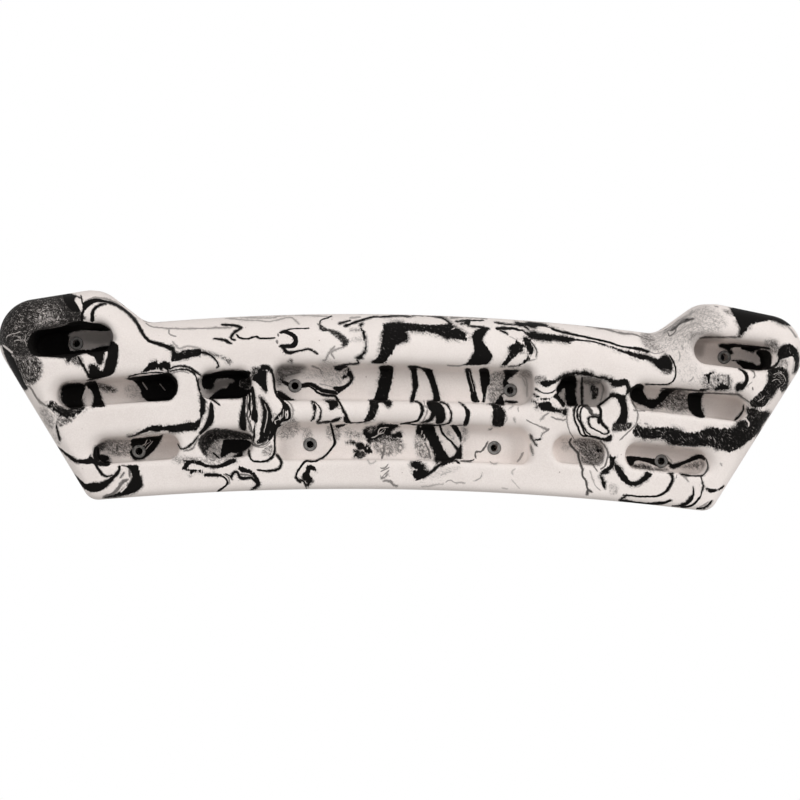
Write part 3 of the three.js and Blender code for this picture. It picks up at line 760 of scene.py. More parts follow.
    (0.7, 0.5, [488, 403.5, 497, 404.5, 503, 409, 505, 415, 503, 426, 495, 426, 492, 423, 493, 418,
      492.5, 407]),
    # bands across the upper slot
    (0.3, 0, [408, 366.3, 417, 366, 421, 367.5, 426, 368, 432, 370, 433, 373, 439, 393, 440, 401, 434, 401,
      433.5, 396, 430, 383, 424, 371, 417, 367.5, 417, 373, 418, 386, 416, 391, 414, 401, 410, 401, 413, 390,
      412, 376, 411, 370]),
    (0.3, 0.3, [465.5, 369, 470, 369, 472, 376, 478, 399, 480, 402, 473, 402, 471, 398, 470.5, 392,
      467, 378]),
    (0.3, 0, [479.5, 369, 488, 369, 490, 380, 489, 385, 487, 387, 485.5, 397, 485, 402, 482.5, 402, 483, 395,
      481.5, 388, 480, 375]),
    (0.4, 0.1, [495, 403, 500, 397, 502, 396, 504, 405]),
    (0.6, 0.1, [504, 370, 519, 370.5, 514, 374, 511, 377.5, 508, 379, 507, 382, 513, 388, 510, 394, 504, 388,
      503, 382, 505, 377, 504.5, 372]),
    # right of the slots
    (0.9, 0, [536, 380.5, 540, 381.5, 545.5, 379.5, 548, 381, 557, 379, 559, 377, 565, 374, 572, 373,
      577, 371, 579, 372.8, 586, 370.8, 588, 373, 591, 372.5, 594, 376, 588, 376, 580, 374.5, 566, 375.5,
      557.5, 381.5, 548, 386.8, 543, 386]),
    (0.2, 0, [533.5, 393.6, 543, 397.8, 553, 396.8, 556.5, 393.5, 564, 402.5, 565, 405, 563, 407, 555, 397.8,
      546, 399.8, 536, 396.8]),
    (1, 0.1, [533, 401, 542, 402.5, 550, 402, 552, 406, 560, 410, 564, 410.5, 566, 409, 566, 415, 563, 414.5,
      561, 412.5, 555, 412, 543, 410.5, 540, 409, 541, 406, 538, 408, 536, 407, 540, 404, 535, 403]),
    # upper right two-finger pocket
    (0.5, 0.1, [563, 376, 575, 376, 576, 385, 575, 392, 577, 403, 577, 405, 567, 405, 565, 388, 560, 392,
      557, 392, 556, 388, 560, 384]),
    # concentric loops
    (0.3, 0, [598, 417, 600.5, 415, 601, 424, 599, 424, 597, 421]),
    (0.5, 0.1, [590, 435.5, 596, 436, 602, 438, 606, 437.5, 611, 434.5, 612, 438.5, 610, 441, 606, 441.5,
      596, 438.5, 588, 436.8]),
    # right of the loops
    (0.9, 0.2, [600, 376.5, 605, 377, 609, 379, 612, 377.5, 614, 380, 620, 380, 624, 379, 628, 380, 630, 388,
      629, 393, 627, 393, 626, 386, 616, 387, 612, 385.5, 610, 382, 606, 379.5, 600, 378.2]),
    (0.5, 0.15, [611, 393, 614, 393.5, 624, 395, 625.5, 399, 627.5, 411, 626, 423, 620, 424, 616, 423,
      620, 415, 621, 409, 617, 399, 612, 397, 609, 397.5]),
    # right four-finger pocket
    # black ink and painted shade: the deep left end of the right four-finger pocket
    (0.4, 0.1, [630, 390, 637, 384, 642, 384.5, 644, 387, 643, 391, 648, 399, 655, 399.5, 660, 398, 658, 396,
      664, 390, 668, 389, 676, 389.5, 672, 392, 667, 396, 664, 400, 656, 406, 652, 409, 643, 405, 632, 400]),
    (0.4, 0, [690.5, 393, 704, 392.7, 701.5, 397.5, 701.6, 410.5, 705, 417.5, 695.7, 416.4, 689.3, 409.3,
      687.5, 401.4, 688, 396.4]),
    # long jagged band
    (1.4, 0.75, [633, 430, 637, 425, 638, 423, 640, 425, 641, 428, 645, 428, 652, 429, 656, 427, 660, 428,
      668, 427, 688, 433, 700, 431, 712, 427, 718, 429, 726, 428, 732, 429, 737, 426, 738, 422, 742, 420,
      746, 420, 747, 415, 746, 411, 748, 407.5, 755, 409.5, 769, 413, 768, 418, 763, 424, 760, 430, 755, 436,
      740, 448, 730, 452, 726, 451, 712, 447, 707, 445, 700, 446.5, 675, 445, 662, 438, 655, 438.5, 637, 437,
      633, 434]),
    # right three-finger pocket
    (0.3, 0, [626, 457, 632, 456.3, 655, 459, 660, 460, 662, 457.5, 666, 457.5, 670, 463, 673, 464.5,
      684, 461, 695, 455.5, 700, 454.5, 703, 455.5, 706, 459, 704, 460.5, 700, 458.5, 681, 465.5, 676, 468,
      671, 468, 668, 464.5, 664, 464.5, 660, 467, 646, 462, 636, 460.5, 633, 465, 630, 466]),
    (0.7, 0.1, [614, 466, 617, 465, 621, 468, 627, 477, 630, 481, 634, 481.5, 639, 480, 643, 477, 645, 474,
      646, 471.5, 652, 474, 650, 477, 637, 485.5, 626, 484, 618, 475]),
    (0.3, 0.1, [681, 504, 686, 502, 692, 494, 693.5, 497, 691, 502, 686, 505, 681, 506]),
    (0.2, 0, [703.5, 485.5, 707, 488, 718, 489, 724, 484.5, 722.5, 488.5, 713, 492.5, 708, 491.5]),
    # lower right two-finger pocket
    (0.6, 0.1, [596, 449, 601, 449.5, 602, 452, 598, 452]),
    (0.7, 0.4, [608, 453, 612, 457, 616, 456.5, 614, 460, 615, 464, 608, 472, 603, 473, 600, 472, 608, 467,
      610, 463]),
    (0.5, 0.1, [600, 474, 603, 478, 604, 482, 606, 481.5, 605, 485, 605.5, 489, 603, 487, 600, 478]),
    # lower slot
    (0.6, 0.3, [306, 466, 310, 465, 314, 466, 316, 469, 316, 472, 312, 469, 310, 471, 309.5, 475, 312, 478,
      313, 482, 310, 482, 309, 485, 307, 487, 306, 486, 307, 482, 304, 480, 302, 476, 306, 470]),
    (0.8, 0.5, [362.5, 430.5, 364.5, 429, 367.5, 430.5, 369.3, 433.2, 375, 431.8, 379, 424.5, 386, 424,
      399, 425, 394, 428.5, 391, 432, 391.6, 434.5, 395, 434.3, 399.3, 432.2, 402.8, 435.7, 401, 437.8,
      397, 437.2, 394, 438.5, 387, 435.2, 382, 435.2, 375.7, 440.4, 371, 440, 369.8, 446, 372.2, 453.5,
      369, 452.5, 366.6, 454, 365, 451, 362.4, 449, 358.8, 450, 358, 453.6, 354.3, 457.4, 353.5, 456,
      357, 451, 357, 446.5, 352.5, 443.2, 347, 442.5, 352, 441.2, 357.5, 443.6, 361.4, 442.4, 368, 449,
      367, 444, 367.5, 439, 365, 436.5]),
    (0.4, 0.1, [417, 426, 420, 426, 421, 430, 425, 441, 423, 440, 418.5, 433, 417, 437, 415.5, 437]),
    (1, 0, [421, 425, 433, 425, 436, 432, 446.5, 454, 450.5, 458.5, 449, 461, 441, 462, 438, 461, 437, 464,
      435, 461, 434, 452, 425, 435]),
    (0.3, 0, [451, 425.5, 457, 426, 459, 430, 461.5, 435, 461.5, 453, 462, 459, 455, 458, 451, 460, 450, 459,
      454, 456, 460.5, 445, 460, 440]),
    (1, 0.1, [421.5, 461.5, 419.5, 463.5, 424.5, 465, 421.8, 467, 426.2, 468, 424, 470, 428.3, 471.5,
      426.8, 474.5, 417.5, 479.8, 412, 474.5, 413, 471, 416.5, 471.3, 416.5, 469.4, 411, 466, 412, 462.5,
      416, 461]),
    (1, 0.3, [441, 463.5, 446, 461, 452, 460, 455, 461.5, 449, 463.3, 441, 466.5]),
    # right end of the lower slot
    (0.3, 0, [535, 439.3, 538, 439.3, 541, 437.6, 542, 439.3, 536, 440.6]),
    # right jug
    (1.1, 0.1, [730, 309, 741, 307, 760, 310.5, 785, 321, 790, 325, 787, 325.5, 771, 320.5, 758, 322.5,
      752, 324, 750, 327, 747, 327, 746, 330, 741, 335.5, 738, 337, 740, 333, 740, 327, 735, 317]),
    (0.3, 0, [719, 345, 722, 344, 728, 344.5, 733, 343.5, 740, 344.5, 766, 347, 770, 348.5, 769, 349.5,
      762, 348.5, 755, 350, 753, 352, 749, 351, 741, 349, 741, 347, 730, 348, 733, 353, 730, 354, 727, 350,
      724, 348, 720, 347]),
    (0.3, 0, [757, 351, 762, 350, 768, 351, 771, 355, 771, 366, 768, 370, 748, 369, 742, 367, 737, 363,
      731, 360, 744, 361, 749, 363, 752, 363, 757, 366, 761, 364, 760, 358, 757, 354]),
    (0.6, 0.6, [778.7, 349.5, 784, 345.5, 790.5, 344, 796, 348.6, 799, 355, 799, 363, 797, 370, 793.5, 373,
      795.3, 363, 794, 358, 790.5, 356.5, 781.5, 359, 779.5, 362, 776, 366, 770, 370.5, 767.5, 371.5,
      777, 361.5, 778, 358.6]),
    (0.8, 0.8, [772, 369, 779.6, 366.5, 785, 368.6, 788, 376, 787, 386.8, 781.5, 392, 779.6, 387.5, 776, 391,
      768, 402, 762, 407, 754, 407, 749.6, 404, 751, 400.5, 762.4, 390.5, 766, 384, 768.3, 381, 768.3, 372]),
    (1, 0.1, [703, 374, 707, 374, 711, 372.5, 714, 373, 711, 375, 709.5, 385, 708, 383, 707.5, 378]),
    (0.8, 0.2, [700, 389, 705, 389, 710, 388.5, 706, 390.5, 700, 391.5]),
    (1.2, 0.3, [717, 377, 719, 380, 719, 385, 722, 383, 725, 385, 729, 386, 728, 389, 724, 390.5, 720, 389.5,
      717, 390.5, 713, 389, 716, 387, 718, 384]),
    (0.9, 0.1, [736, 386, 738, 383.5, 744.5, 384, 744, 387, 737, 391]),
    # touched up last
    (0.3, 0, [427, 401.5, 436, 401.5, 435, 408, 431, 411, 428, 407]),
    (0.5, 0.3, [63, 293.5, 76, 295.5, 74, 300, 78, 306, 80, 312, 72, 311, 65, 303]),
]
print("patches:", len(PATCHES))

# %% Lines, as (widths, strength, places)
LINES = [
    # left jug
    ((1.6,), 1, [78, 357, 88, 374, 89, 377]),
    ((1.4,), 0.7, [22, 387, 25, 386, 29, 386.5, 32, 390, 39, 401, 50, 408, 54, 412]),
    ((1.2,), 1, [56, 425, 60, 440]),
    # left four-finger pocket
    ((0.9,), 1, [128, 377.5, 134, 375, 152, 372.5, 164, 373]),
    # right side of the left hump
    ((2.6, 1.8, 2, 2.4, 2.6, 3), 1, [82, 320, 82, 314, 85, 308, 90, 303, 96, 300.7, 110, 302.5, 124, 309.5,
      136, 321.5, 143, 334, 147, 339, 152, 342, 166, 346, 171, 349]),
    ((1.2,), 0.6, [84, 302.5, 90, 299, 96, 297.5, 110, 300, 126, 309, 138, 322]),
    ((3.6, 2.2, 1), 1, [92.3, 320, 93, 311, 100, 304.8, 106, 303.6]),
    ((1,), 1, [81, 296, 82, 302, 84, 306]),
    ((1.2,), 0.9, [71, 297, 75, 295.5, 82, 299]),
    ((0.9,), 0.6, [146, 323, 150, 326, 156, 327.3, 180, 328.8, 230, 327.5]),
    ((1,), 0.6, [169, 330, 169.5, 334, 176, 336.5]),
    ((1.2,), 0.5, [173, 342, 179, 348.5, 186, 346.5, 194, 347, 200, 349]),
    # arcs between the left pockets
    ((1.2,), 1, [170, 369, 174, 367, 179, 366, 186, 366.5, 192, 369, 200, 375]),
    ((0.9,), 1, [170.5, 371, 181, 369.3, 188, 370, 193, 372.5, 196, 377, 199, 390, 201, 394]),
    ((0.8,), 0.6, [172, 373.5, 178, 371.5, 184, 371.5, 189, 373]),
    ((0.8,), 1, [198, 378, 198.5, 385, 200, 390]),
    ((1.4,), 1, [210, 399, 214, 400.5, 219.5, 405]),
    ((0.9,), 1, [178, 444, 180, 448, 184, 448.8, 192, 444, 198, 436]),
    ((0.8,), 0.7, [184, 451, 190, 450, 194, 446.5, 199, 436]),
    # left three-finger pocket
    ((1.2,), 0.8, [122, 465.5, 126, 466, 129, 468.5, 130, 476]),
    ((2,), 0.8, [104, 497, 112, 494, 118, 489, 121, 484, 124, 481, 127, 480]),
    ((1,), 0.8, [121, 477, 123.5, 473]),
    ((2.2, 1.4, 0.8), 1, [91, 458, 99, 470, 103, 475, 108, 476.5, 112, 475]),
    # left part of the beam
    ((1.6,), 1, [222, 324.5, 236, 325.5, 240, 327, 241, 328.5, 235, 332, 231, 337, 232, 339, 235, 340]),
    ((1.4,), 1, [237, 335, 240, 338, 248, 339, 251, 337.5, 255, 337, 257, 336, 259, 338, 264, 338.5,
      275, 338]),
    ((1.4,), 1, [214, 338.5, 224, 340, 231, 343.5]),
    ((0.9,), 0.5, [225, 318, 245, 320, 258, 320.5, 270, 321.5, 288, 317.5, 293, 318.5, 299, 324]),
    ((0.9,), 0.5, [240, 317.5, 270, 318, 280, 316, 300, 315, 328, 316.5]),
    ((1.6, 1), 1, [200, 352.5, 206, 353, 214, 358, 218.5, 365, 217, 368]),
    ((1,), 1, [284, 332, 290, 329, 309, 328.3]),
    ((2.2, 3.6, 4.6, 4.4, 2.2), 1, [280.5, 332.5, 285.5, 331.5, 294, 336, 296, 340.5, 294.5, 344.5,
      291, 346.3, 281, 346]),
    ((2.4, 1.8, 0.8), 1, [283, 347, 285, 350.5, 287.5, 352.5, 292, 352.3, 303, 350, 309, 349.3, 317, 353.5]),
    ((1.2,), 0.8, [278, 334.6, 278.2, 335.6]),
    ((1.2,), 0.8, [277, 340.6, 277.2, 341.6]),
    # left of the slots
    ((1,), 0.9, [247.5, 396, 247, 403, 248, 409, 247, 415, 248.5, 421, 251, 426, 252, 433]),
    ((1.8, 2, 1), 1, [249.5, 394, 250, 400, 249, 406, 250.5, 412, 249.5, 417]),
    ((1,), 0.8, [250.5, 421, 249.5, 426, 250.5, 431]),
    ((0.9,), 0.8, [252, 440.5, 256, 444.5, 262, 445.5, 267, 443, 270, 439]),
    ((0.8,), 0.6, [254, 446, 260, 447.5, 266, 446, 270, 442]),
    ((0.9,), 0.6, [287.5, 401, 291, 404.5, 293, 409.5, 292.5, 415, 290.5, 419.5]),
    # left end of the upper slot
    ((2,), 1, [298, 388, 300, 389]),
    ((1.5,), 0.6, [284, 376, 300, 372]),
    # lower left two-finger pocket
    ((1.2,), 1, [213.5, 453, 219, 458]),
    ((1.4,), 0.85, [251, 443, 254, 445, 258, 446, 262, 444.5, 266, 441, 269, 437]),
    ((1.4, 1.8, 1.4), 1, [248.8, 451, 249.5, 456, 253, 461, 264, 461.5, 270, 459, 273.5, 455, 274.7, 449,
      274.8, 434, 277, 428, 281, 425]),
    ((1.6,), 1, [277, 455, 280, 459, 281.5, 463, 280.5, 466.5, 277, 469.5, 266, 471, 258, 470]),
    ((1.6,), 1, [222, 476, 226, 479, 227.5, 483, 225, 486.5, 218, 491]),
    ((1,), 0.7, [224, 474.5, 228, 477, 229.5, 481, 228, 485]),
    ((0.9,), 1, [226, 474, 230, 476, 232, 479]),
    ((2,), 1, [231, 477, 233, 473.5, 236, 471.5, 238, 473, 240, 477.5, 245, 478.5, 250, 477.5, 253, 479,
      258, 484]),
    ((1.2,), 0.8, [240, 474, 252, 476, 255, 480]),
    # middle of the beam
    ((1,), 1, [332, 316, 326, 318.5, 321, 320, 319.5, 323.5]),
    ((1,), 0.6, [346, 346, 335, 350, 331, 352, 334, 358]),
    ((1,), 0.6, [335, 346, 331, 350, 327, 357, 326, 360, 323, 361]),
    ((1.2,), 1, [339, 323.5, 350, 320.5]),
    ((1.8, 1), 1, [345, 326, 360, 320.5, 372, 317, 380, 317, 400, 315.5, 410, 316.5]),
    ((1.4,), 0.5, [350, 318, 360, 317]),
    ((1,), 1, [412, 315.8, 420, 315.6, 438, 316.8, 443, 318.5, 452, 325]),
    ((1.2,), 0.7, [451, 318, 466, 317.2, 487, 318.5]),
    ((1,), 1, [456, 321.3, 460, 321.5, 464, 320.5, 484, 320.5]),
    ((1,), 1, [469, 325.8, 486, 327.8, 489, 329]),
    # ink and painted shadow: the dark line under the beam's lip above the upper slot
    ((1,), 0.6, [448, 365.5, 459, 366, 464, 364.8]),
    ((0.8,), 0.6, [494, 322.5, 500, 323.5]),
    # right part of the beam
    ((0.8,), 1, [494, 322.5, 511, 324.8, 516, 324.5, 522, 325]),
    ((2, 1.8, 1.6, 1.5), 1, [552, 328.6, 562, 332, 606, 341.5, 618, 345.5, 631, 348]),
    ((0.8,), 1, [524, 326, 528.5, 329.5]),
    ((2.6, 2, 1), 1, [497, 328.5, 514, 328.5, 518, 330, 522, 330.5, 526, 332.5]),
    ((1.4,), 1, [500, 331, 504, 331.8, 507, 333.8]),
    ((1.4, 1.2, 1.2), 1, [576, 339.8, 592, 341.5, 605, 344.8]),
    ((0.6,), 0.4, [510, 336.5, 518, 341]),
    ((0.9,), 0.9, [530, 340, 535.5, 348, 537, 352, 536, 356]),
    ((1,), 0.5, [526, 361.5, 535, 359.3]),
    # ink and painted shadow: the dark line under the beam's lip above the upper slot
    ((0.9,), 0.8, [508, 366.7, 519, 365.3, 527, 361, 530, 360]),
    ((0.9, 0.8), 0.75, [587, 326.5, 594, 326.8, 600, 328.5, 608, 329.5, 621, 333, 632, 334, 648, 339.5,
      655, 340]),
    ((1,), 0.6, [604, 329, 626, 334.5, 634, 334, 646, 339, 652, 340.3]),
    ((0.7,), 0.6, [650, 352, 655, 353.5, 660, 353, 664, 351.5]),
    ((1.2, 1.2, 0.8), 1, [670, 356, 673.5, 362, 675.5, 368, 675.8, 374, 674, 380, 670, 383.3, 664, 384.6,
      645, 384.2]),
    # floor of the upper slot
    ((0.7,), 0.7, [312, 366, 320, 369.5, 321, 374]),
    ((2.4, 3, 3.4, 3), 1, [300, 385.3, 303, 385.2, 311, 384, 322, 390.5, 333, 392, 336, 393.5]),
    ((1,), 1, [300, 388, 303, 387, 306, 387, 309, 386]),
    ((1.4, 1.6, 2.2), 1, [306, 385.5, 311, 387.2, 315, 390, 318, 393, 326, 395.3, 335, 396, 338, 400.5]),
    ((0.8,), 0.5, [320, 384, 326, 385, 335, 388]),
    ((0.9,), 1, [357, 360, 358.5, 363.5, 350, 364, 334, 367]),
    # rail
    ((1,), 1, [315.5, 409, 313.5, 418, 311, 421]),
    ((1,), 1, [312, 401.5, 316, 403, 320.8, 410, 320, 418, 317.5, 422]),
    ((1.4, 2), 1, [338, 400.5, 341, 405, 348, 420, 350, 422.5]),
    ((0.9,), 1, [318, 423, 330, 421.5, 340.5, 418]),
    ((0.9,), 1, [350, 423, 360, 422.5, 368, 421]),
    ((0.8, 2.6, 0.8), 1, [414, 401, 420, 403, 422.5, 411, 419, 419, 415, 421.5, 400, 424]),
    ((0.7,), 0.6, [424, 401.5, 425, 406, 428, 408]),
    ((0.7,), 0.6, [427, 410, 426, 415, 424, 420]),
    ((1,), 1, [400, 424, 408, 423.7, 420, 425.3, 440, 425, 446, 424, 450, 422]),
    ((1.2,), 1, [440, 402, 444, 403, 448, 406, 451.5, 414, 450, 422, 447, 424]),
    ((0.7,), 0.8, [450, 425.8, 464, 425.2]),
    ((0.9,), 0.7, [489, 430, 491, 429.5, 492, 428.5]),
    # bands across the upper slot
    ((1.4,), 1, [505.5, 401, 511, 402, 517, 402.2]),
    ((1.2,), 0.9, [500, 396, 504, 393]),
    ((1,), 0.4, [519, 374, 523, 375, 526, 379, 527, 384, 527, 396]),
    ((0.8,), 0.35, [517, 376, 521, 377, 524, 381, 525.5, 386]),
    # right of the slots
    ((1,), 1, [594, 376, 600, 377.8]),
    ((0.9,), 1, [536, 389, 543, 393, 552, 392.5, 555, 390]),
    ((1.2,), 0.6, [541, 420, 544, 416, 549, 413]),
    ((0.9,), 0.7, [552, 417, 556, 419, 560, 419.5, 564, 420.5, 566, 419]),
    ((0.8,), 0.7, [568, 408, 566.5, 414, 568.5, 429, 574, 439]),
    ((0.9,), 0.7, [527, 420, 532, 423, 545, 428.5, 550, 429.5, 543, 433, 541, 437]),
    ((0.7,), 0.5, [505, 414, 507, 419, 505, 423]),
    ((0.7,), 0.5, [514, 418, 515, 422]),
    ((0.7,), 0.5, [518, 408, 518.5, 411]),
    ((0.7,), 0.5, [509, 409, 513, 406]),
    # upper right two-finger pocket
    ((1.4,), 1, [582, 378, 582, 404]),
    ((1.2,), 0.5, [601, 383, 603.5, 389, 601, 400]),
    # concentric loops
    ((1.6, 1.4, 1.4), 1, [577, 405, 574.5, 409, 574, 415, 575, 421, 578, 427, 580, 433, 583, 436, 588, 436]),
    ((1.4,), 1, [581, 405, 578, 408, 577, 413, 578, 419, 581, 424, 585, 434, 589, 436.5]),
    ((1.2,), 1, [585, 406, 581, 409, 580.5, 420, 586, 431, 590, 434.5]),
    ((2.6, 2.4, 2), 0.9, [583, 405.5, 586, 406, 590, 410, 592, 414, 597, 416, 601, 414]),
    ((1.2,), 1, [600, 417.5, 591, 416.5, 588.5, 418.5, 589, 424, 592, 428, 600, 432, 603, 434, 607, 434,
      609, 432, 608, 430]),
    ((2.4,), 1, [599, 407, 601, 412, 600.5, 419, 602.5, 424, 607, 428.3]),
    ((1.6,), 1, [613, 394, 605, 401, 598, 406]),
    # right of the loops
    ((2,), 1, [627, 393, 633, 388]),
    ((1,), 0.7, [631, 400, 637, 411, 638, 416, 636, 424]),
    ((0.7,), 0.8, [634, 410, 640, 411, 645, 411]),
    ((1,), 0.7, [620, 440, 637, 424]),
    # right four-finger pocket
    # painted shadow: the dark line under the top lip of the right four-finger pocket
    ((1.2,), 0.9, [662, 388.3, 703, 391]),
    ((1,), 0.8, [700, 393, 735, 394.2, 739, 395, 749, 402]),
    ((1.4,), 1, [743.5, 406, 743, 411, 737, 418.5, 735, 420]),
    # long jagged band
    ((1.2,), 0.6, [645, 423.5, 647, 424]),
    # right three-finger pocket
    ((0.8,), 0.4, [661, 457, 665, 455.5, 670, 459, 672, 462]),
    ((1.2,), 0.9, [706, 459, 708, 466, 706, 472, 702, 476]),
    ((1.4, 2.4, 1.6, 1.2), 1, [670, 473.5, 672, 476, 672.5, 480, 668, 489, 664, 493, 659, 495.5, 653, 496.5,
      638, 496.5, 632, 495.5, 624, 495.5]),
    ((0.8,), 1, [668, 473.3, 673, 473.3]),
    ((1,), 1, [620, 500, 626, 496]),
    ((1.4, 1.8, 2.6, 1.6), 1, [620, 500, 645, 503.5, 662, 503, 671, 500.5]),
    ((1.2,), 0.6, [680, 474, 684, 476, 688, 481]),
    ((1.2,), 1, [681, 474, 688, 475.5, 700, 476, 703, 475]),
    ((1, 2.2, 1), 1, [693, 487, 693.5, 493, 691.5, 499, 687, 503.5, 680, 505.8, 672, 506]),
    ((1.8, 1.4), 1, [700, 497, 694, 504, 688, 506.5, 681, 506.8]),
    ((1,), 1, [701, 477, 703.5, 486]),
    ((1,), 1, [703.5, 486, 700, 498]),
    ((1.4,), 1, [712, 501, 708, 505, 703, 508, 697, 508.5]),
    ((1,), 0.6, [708, 502, 704, 505, 700, 507]),
    # lower right two-finger pocket
    ((1.6,), 0.9, [571, 439, 569.5, 443, 572, 447, 578, 453, 578.5, 457, 582, 468, 583, 469, 582, 473,
      583, 477, 586, 481, 587.5, 489, 591, 491.5]),
    ((1.4,), 0.9, [588, 490, 587, 494]),
    ((1,), 0.8, [593, 465, 597, 470.5]),
    ((0.7,), 0.5, [590, 471, 595, 485, 600, 490]),
    ((1.2,), 0.8, [600, 441, 604, 445, 607, 450, 608, 455, 605, 466, 601, 469]),
    ((1.2,), 1, [600, 473, 605, 473.5, 609, 472]),
    # lower slot
    ((1.8, 2.2, 1.8, 1.6), 1, [331, 424.5, 334.5, 440, 333.5, 446, 325, 456, 320, 459]),
    ((1.8,), 1, [320, 458.8, 316, 461, 312, 461.5, 307, 461, 304, 462.5, 298.5, 470]),
    ((1.6,), 1, [298, 470, 296, 477, 300, 482]),
    ((1,), 1, [300, 479.5, 303, 481, 305.5, 484, 306, 487]),
    ((1.4,), 0.8, [384, 446, 383.5, 452, 382, 458]),
    ((1.2,), 0.7, [390, 449, 389, 455]),
    ((0.8,), 0.4, [368, 460, 369, 463, 372, 463.5, 376, 461]),
    ((0.9,), 0.7, [381, 468, 384, 468.5, 388, 464.5]),
    ((0.9,), 0.7, [381, 471.5, 389, 467.5]),
    ((0.9,), 0.7, [389, 470.5, 384, 475, 388, 474, 382, 479, 381, 477]),
    ((1.2,), 0.7, [384, 481, 388, 480.8, 391, 482, 394, 485, 397, 486]),
    ((1, 0.7), 0.8, [425, 443, 428, 449, 430.5, 458]),
    ((1.9, 1.6, 1.9), 1, [440, 425.5, 443, 434, 451.5, 442, 459, 451]),
    ((1.6, 1.8, 2, 3.2), 1, [416, 480, 428, 474.3, 443.6, 462, 454, 458.2]),
    ((1.6,), 1, [456, 461, 459, 463]),
    ((0.9,), 1, [460, 461, 470, 461, 474, 459.5]),
    ((1.2, 1, 1.4), 0.85, [476, 458, 475, 454, 477, 451, 480, 452, 483, 450, 487.5, 442]),
    ((0.7,), 0.5, [490, 461.5, 493, 464, 497, 463.5]),
    ((0.8,), 0.4, [422, 486.5, 430, 486, 437, 484.5, 444, 484]),
    ((0.7,), 0.4, [440, 476, 446, 473, 452, 471]),
    ((0.8,), 0.5, [446, 482, 450, 480, 456, 483, 462, 482, 464, 483]),
    ((0.8,), 0.5, [474, 481, 478, 479.5, 481, 477, 482, 474]),
    # right end of the lower slot
    ((1.2,), 0.9, [530.5, 435, 532, 439, 537, 446]),
    ((1.6,), 0.55, [523, 453, 521, 457, 518, 461]),
    ((1,), 0.7, [531, 445, 531.5, 450, 533, 454]),
    ((1.2,), 0.35, [515, 469, 512, 471, 512.5, 474]),
    ((0.8,), 0.3, [512, 480, 519, 488]),
    ((1,), 0.35, [502, 488, 508, 489]),
    # right jug
    ((1,), 0.5, [663, 334, 669, 327.5, 686, 316, 695, 311.5]),
    ((0.9,), 0.45, [659, 331.5, 676, 316, 685, 310.5]),
    ((0.9,), 0.45, [674, 335, 681, 329.5, 689, 325, 696, 323, 701, 325.5, 704, 330]),
    ((0.8,), 0.4, [700, 313.5, 707, 315, 712, 318.5, 715, 324]),
    ((0.8,), 0.4, [640, 331, 655, 334, 661, 331]),
    ((0.8,), 0.4, [640, 334.5, 655, 338.5, 660, 337, 665, 333]),
    ((0.8,), 0.4, [640, 338, 649, 341, 656, 342, 663, 338.5]),
    ((1.4,), 0.85, [672, 330, 676, 328, 680, 323.5, 693, 318.8]),
    ((1,), 0.8, [668, 333, 670, 336, 675, 332, 676, 329]),
    ((1,), 0.5, [679, 352, 680, 356, 679, 361]),
    ((1.4,), 0.5, [682, 346, 683, 349]),
    ((0.8,), 0.6, [690, 381, 693, 378]),
    ((1,), 0.6, [715, 306, 718, 307]),
    ((0.9,), 0.8, [738, 337, 710, 337.3, 700, 338]),
    ((1.4,), 0.6, [788, 327, 792, 331, 796, 337]),
    ((1.2,), 0.7, [703, 391, 704, 389]),
    ((1.6,), 0.9, [728.5, 376, 729, 385]),
    ((1, 3.6, 3.4), 1, [739.5, 369, 743.5, 371.5, 746.3, 375, 746.8, 379.5, 745, 384, 742, 388]),
    ((0.8,), 0.8, [751, 370, 754, 372, 755, 376, 753.5, 378]),
    ((0.7,), 0.5, [752, 382, 746, 387]),
    ((1.2,), 0.8, [752.5, 388, 752.7, 389]),
    ((1.2,), 0.5, [721, 464, 721.4, 465]),
]
print("lines:", len(LINES))

# %% Pale lines, as (widths, strength, places)
PALE_LINES = [
    ((2,), 0.8, [4, 346, 12, 352.5]),
    ((0.9,), 0.5, [6, 338, 9, 335, 20, 332]),
    ((0.8,), 0.45, [14, 341, 18, 340, 23, 341]),
    ((0.8,), 0.4, [26, 335, 25, 340, 27, 346]),
    ((1.2,), 0.5, [143, 383, 147, 389]),
    ((1,), 0.4, [160, 384, 165, 390]),
    ((0.8,), 0.6, [141, 452, 146, 449, 153, 441]),
    ((0.6,), 0.9, [141, 446, 145, 444, 147, 440]),
    ((1.5,), 0.9, [121, 492, 127, 486]),
    ((0.9,), 0.6, [267.5, 412, 267, 419, 264, 432]),
    ((0.7,), 0.5, [264.5, 404, 266.5, 409]),
    ((1.4, 1), 0.9, [287.3, 411, 287.8, 414.5, 287.2, 418]),
    ((1,), 0.8, [279, 416.5, 279.5, 419]),
    ((1,), 0.7, [275, 421, 275.5, 424]),
    ((0.7,), 0.5, [283.5, 410, 283, 416, 280.5, 420.5]),
    ((0.8,), 0.9, [451.5, 329.5, 455, 327.8]),
    ((0.5,), 0.5, [469, 372, 474, 392]),
    ((1.4,), 0.8, [745.5, 419, 748.5, 422, 748.5, 426]),
    ((1, 0.8), 0.9, [377.6, 433, 379, 429.3, 383, 427.6, 388, 427.6]),
    ((0.9,), 0.6, [371.5, 437.5, 375.5, 436.8, 379, 434, 384, 432.8]),
    ((0.6, 0.5), 0.5, [773, 375, 779, 372.5, 784, 376, 786, 381]),
    ((0.5,), 0.5, [771, 382, 777, 379, 781, 383]),
    ((0.5,), 0.5, [757, 402, 762, 399, 765, 395]),
]
print("pale lines:", len(PALE_LINES))

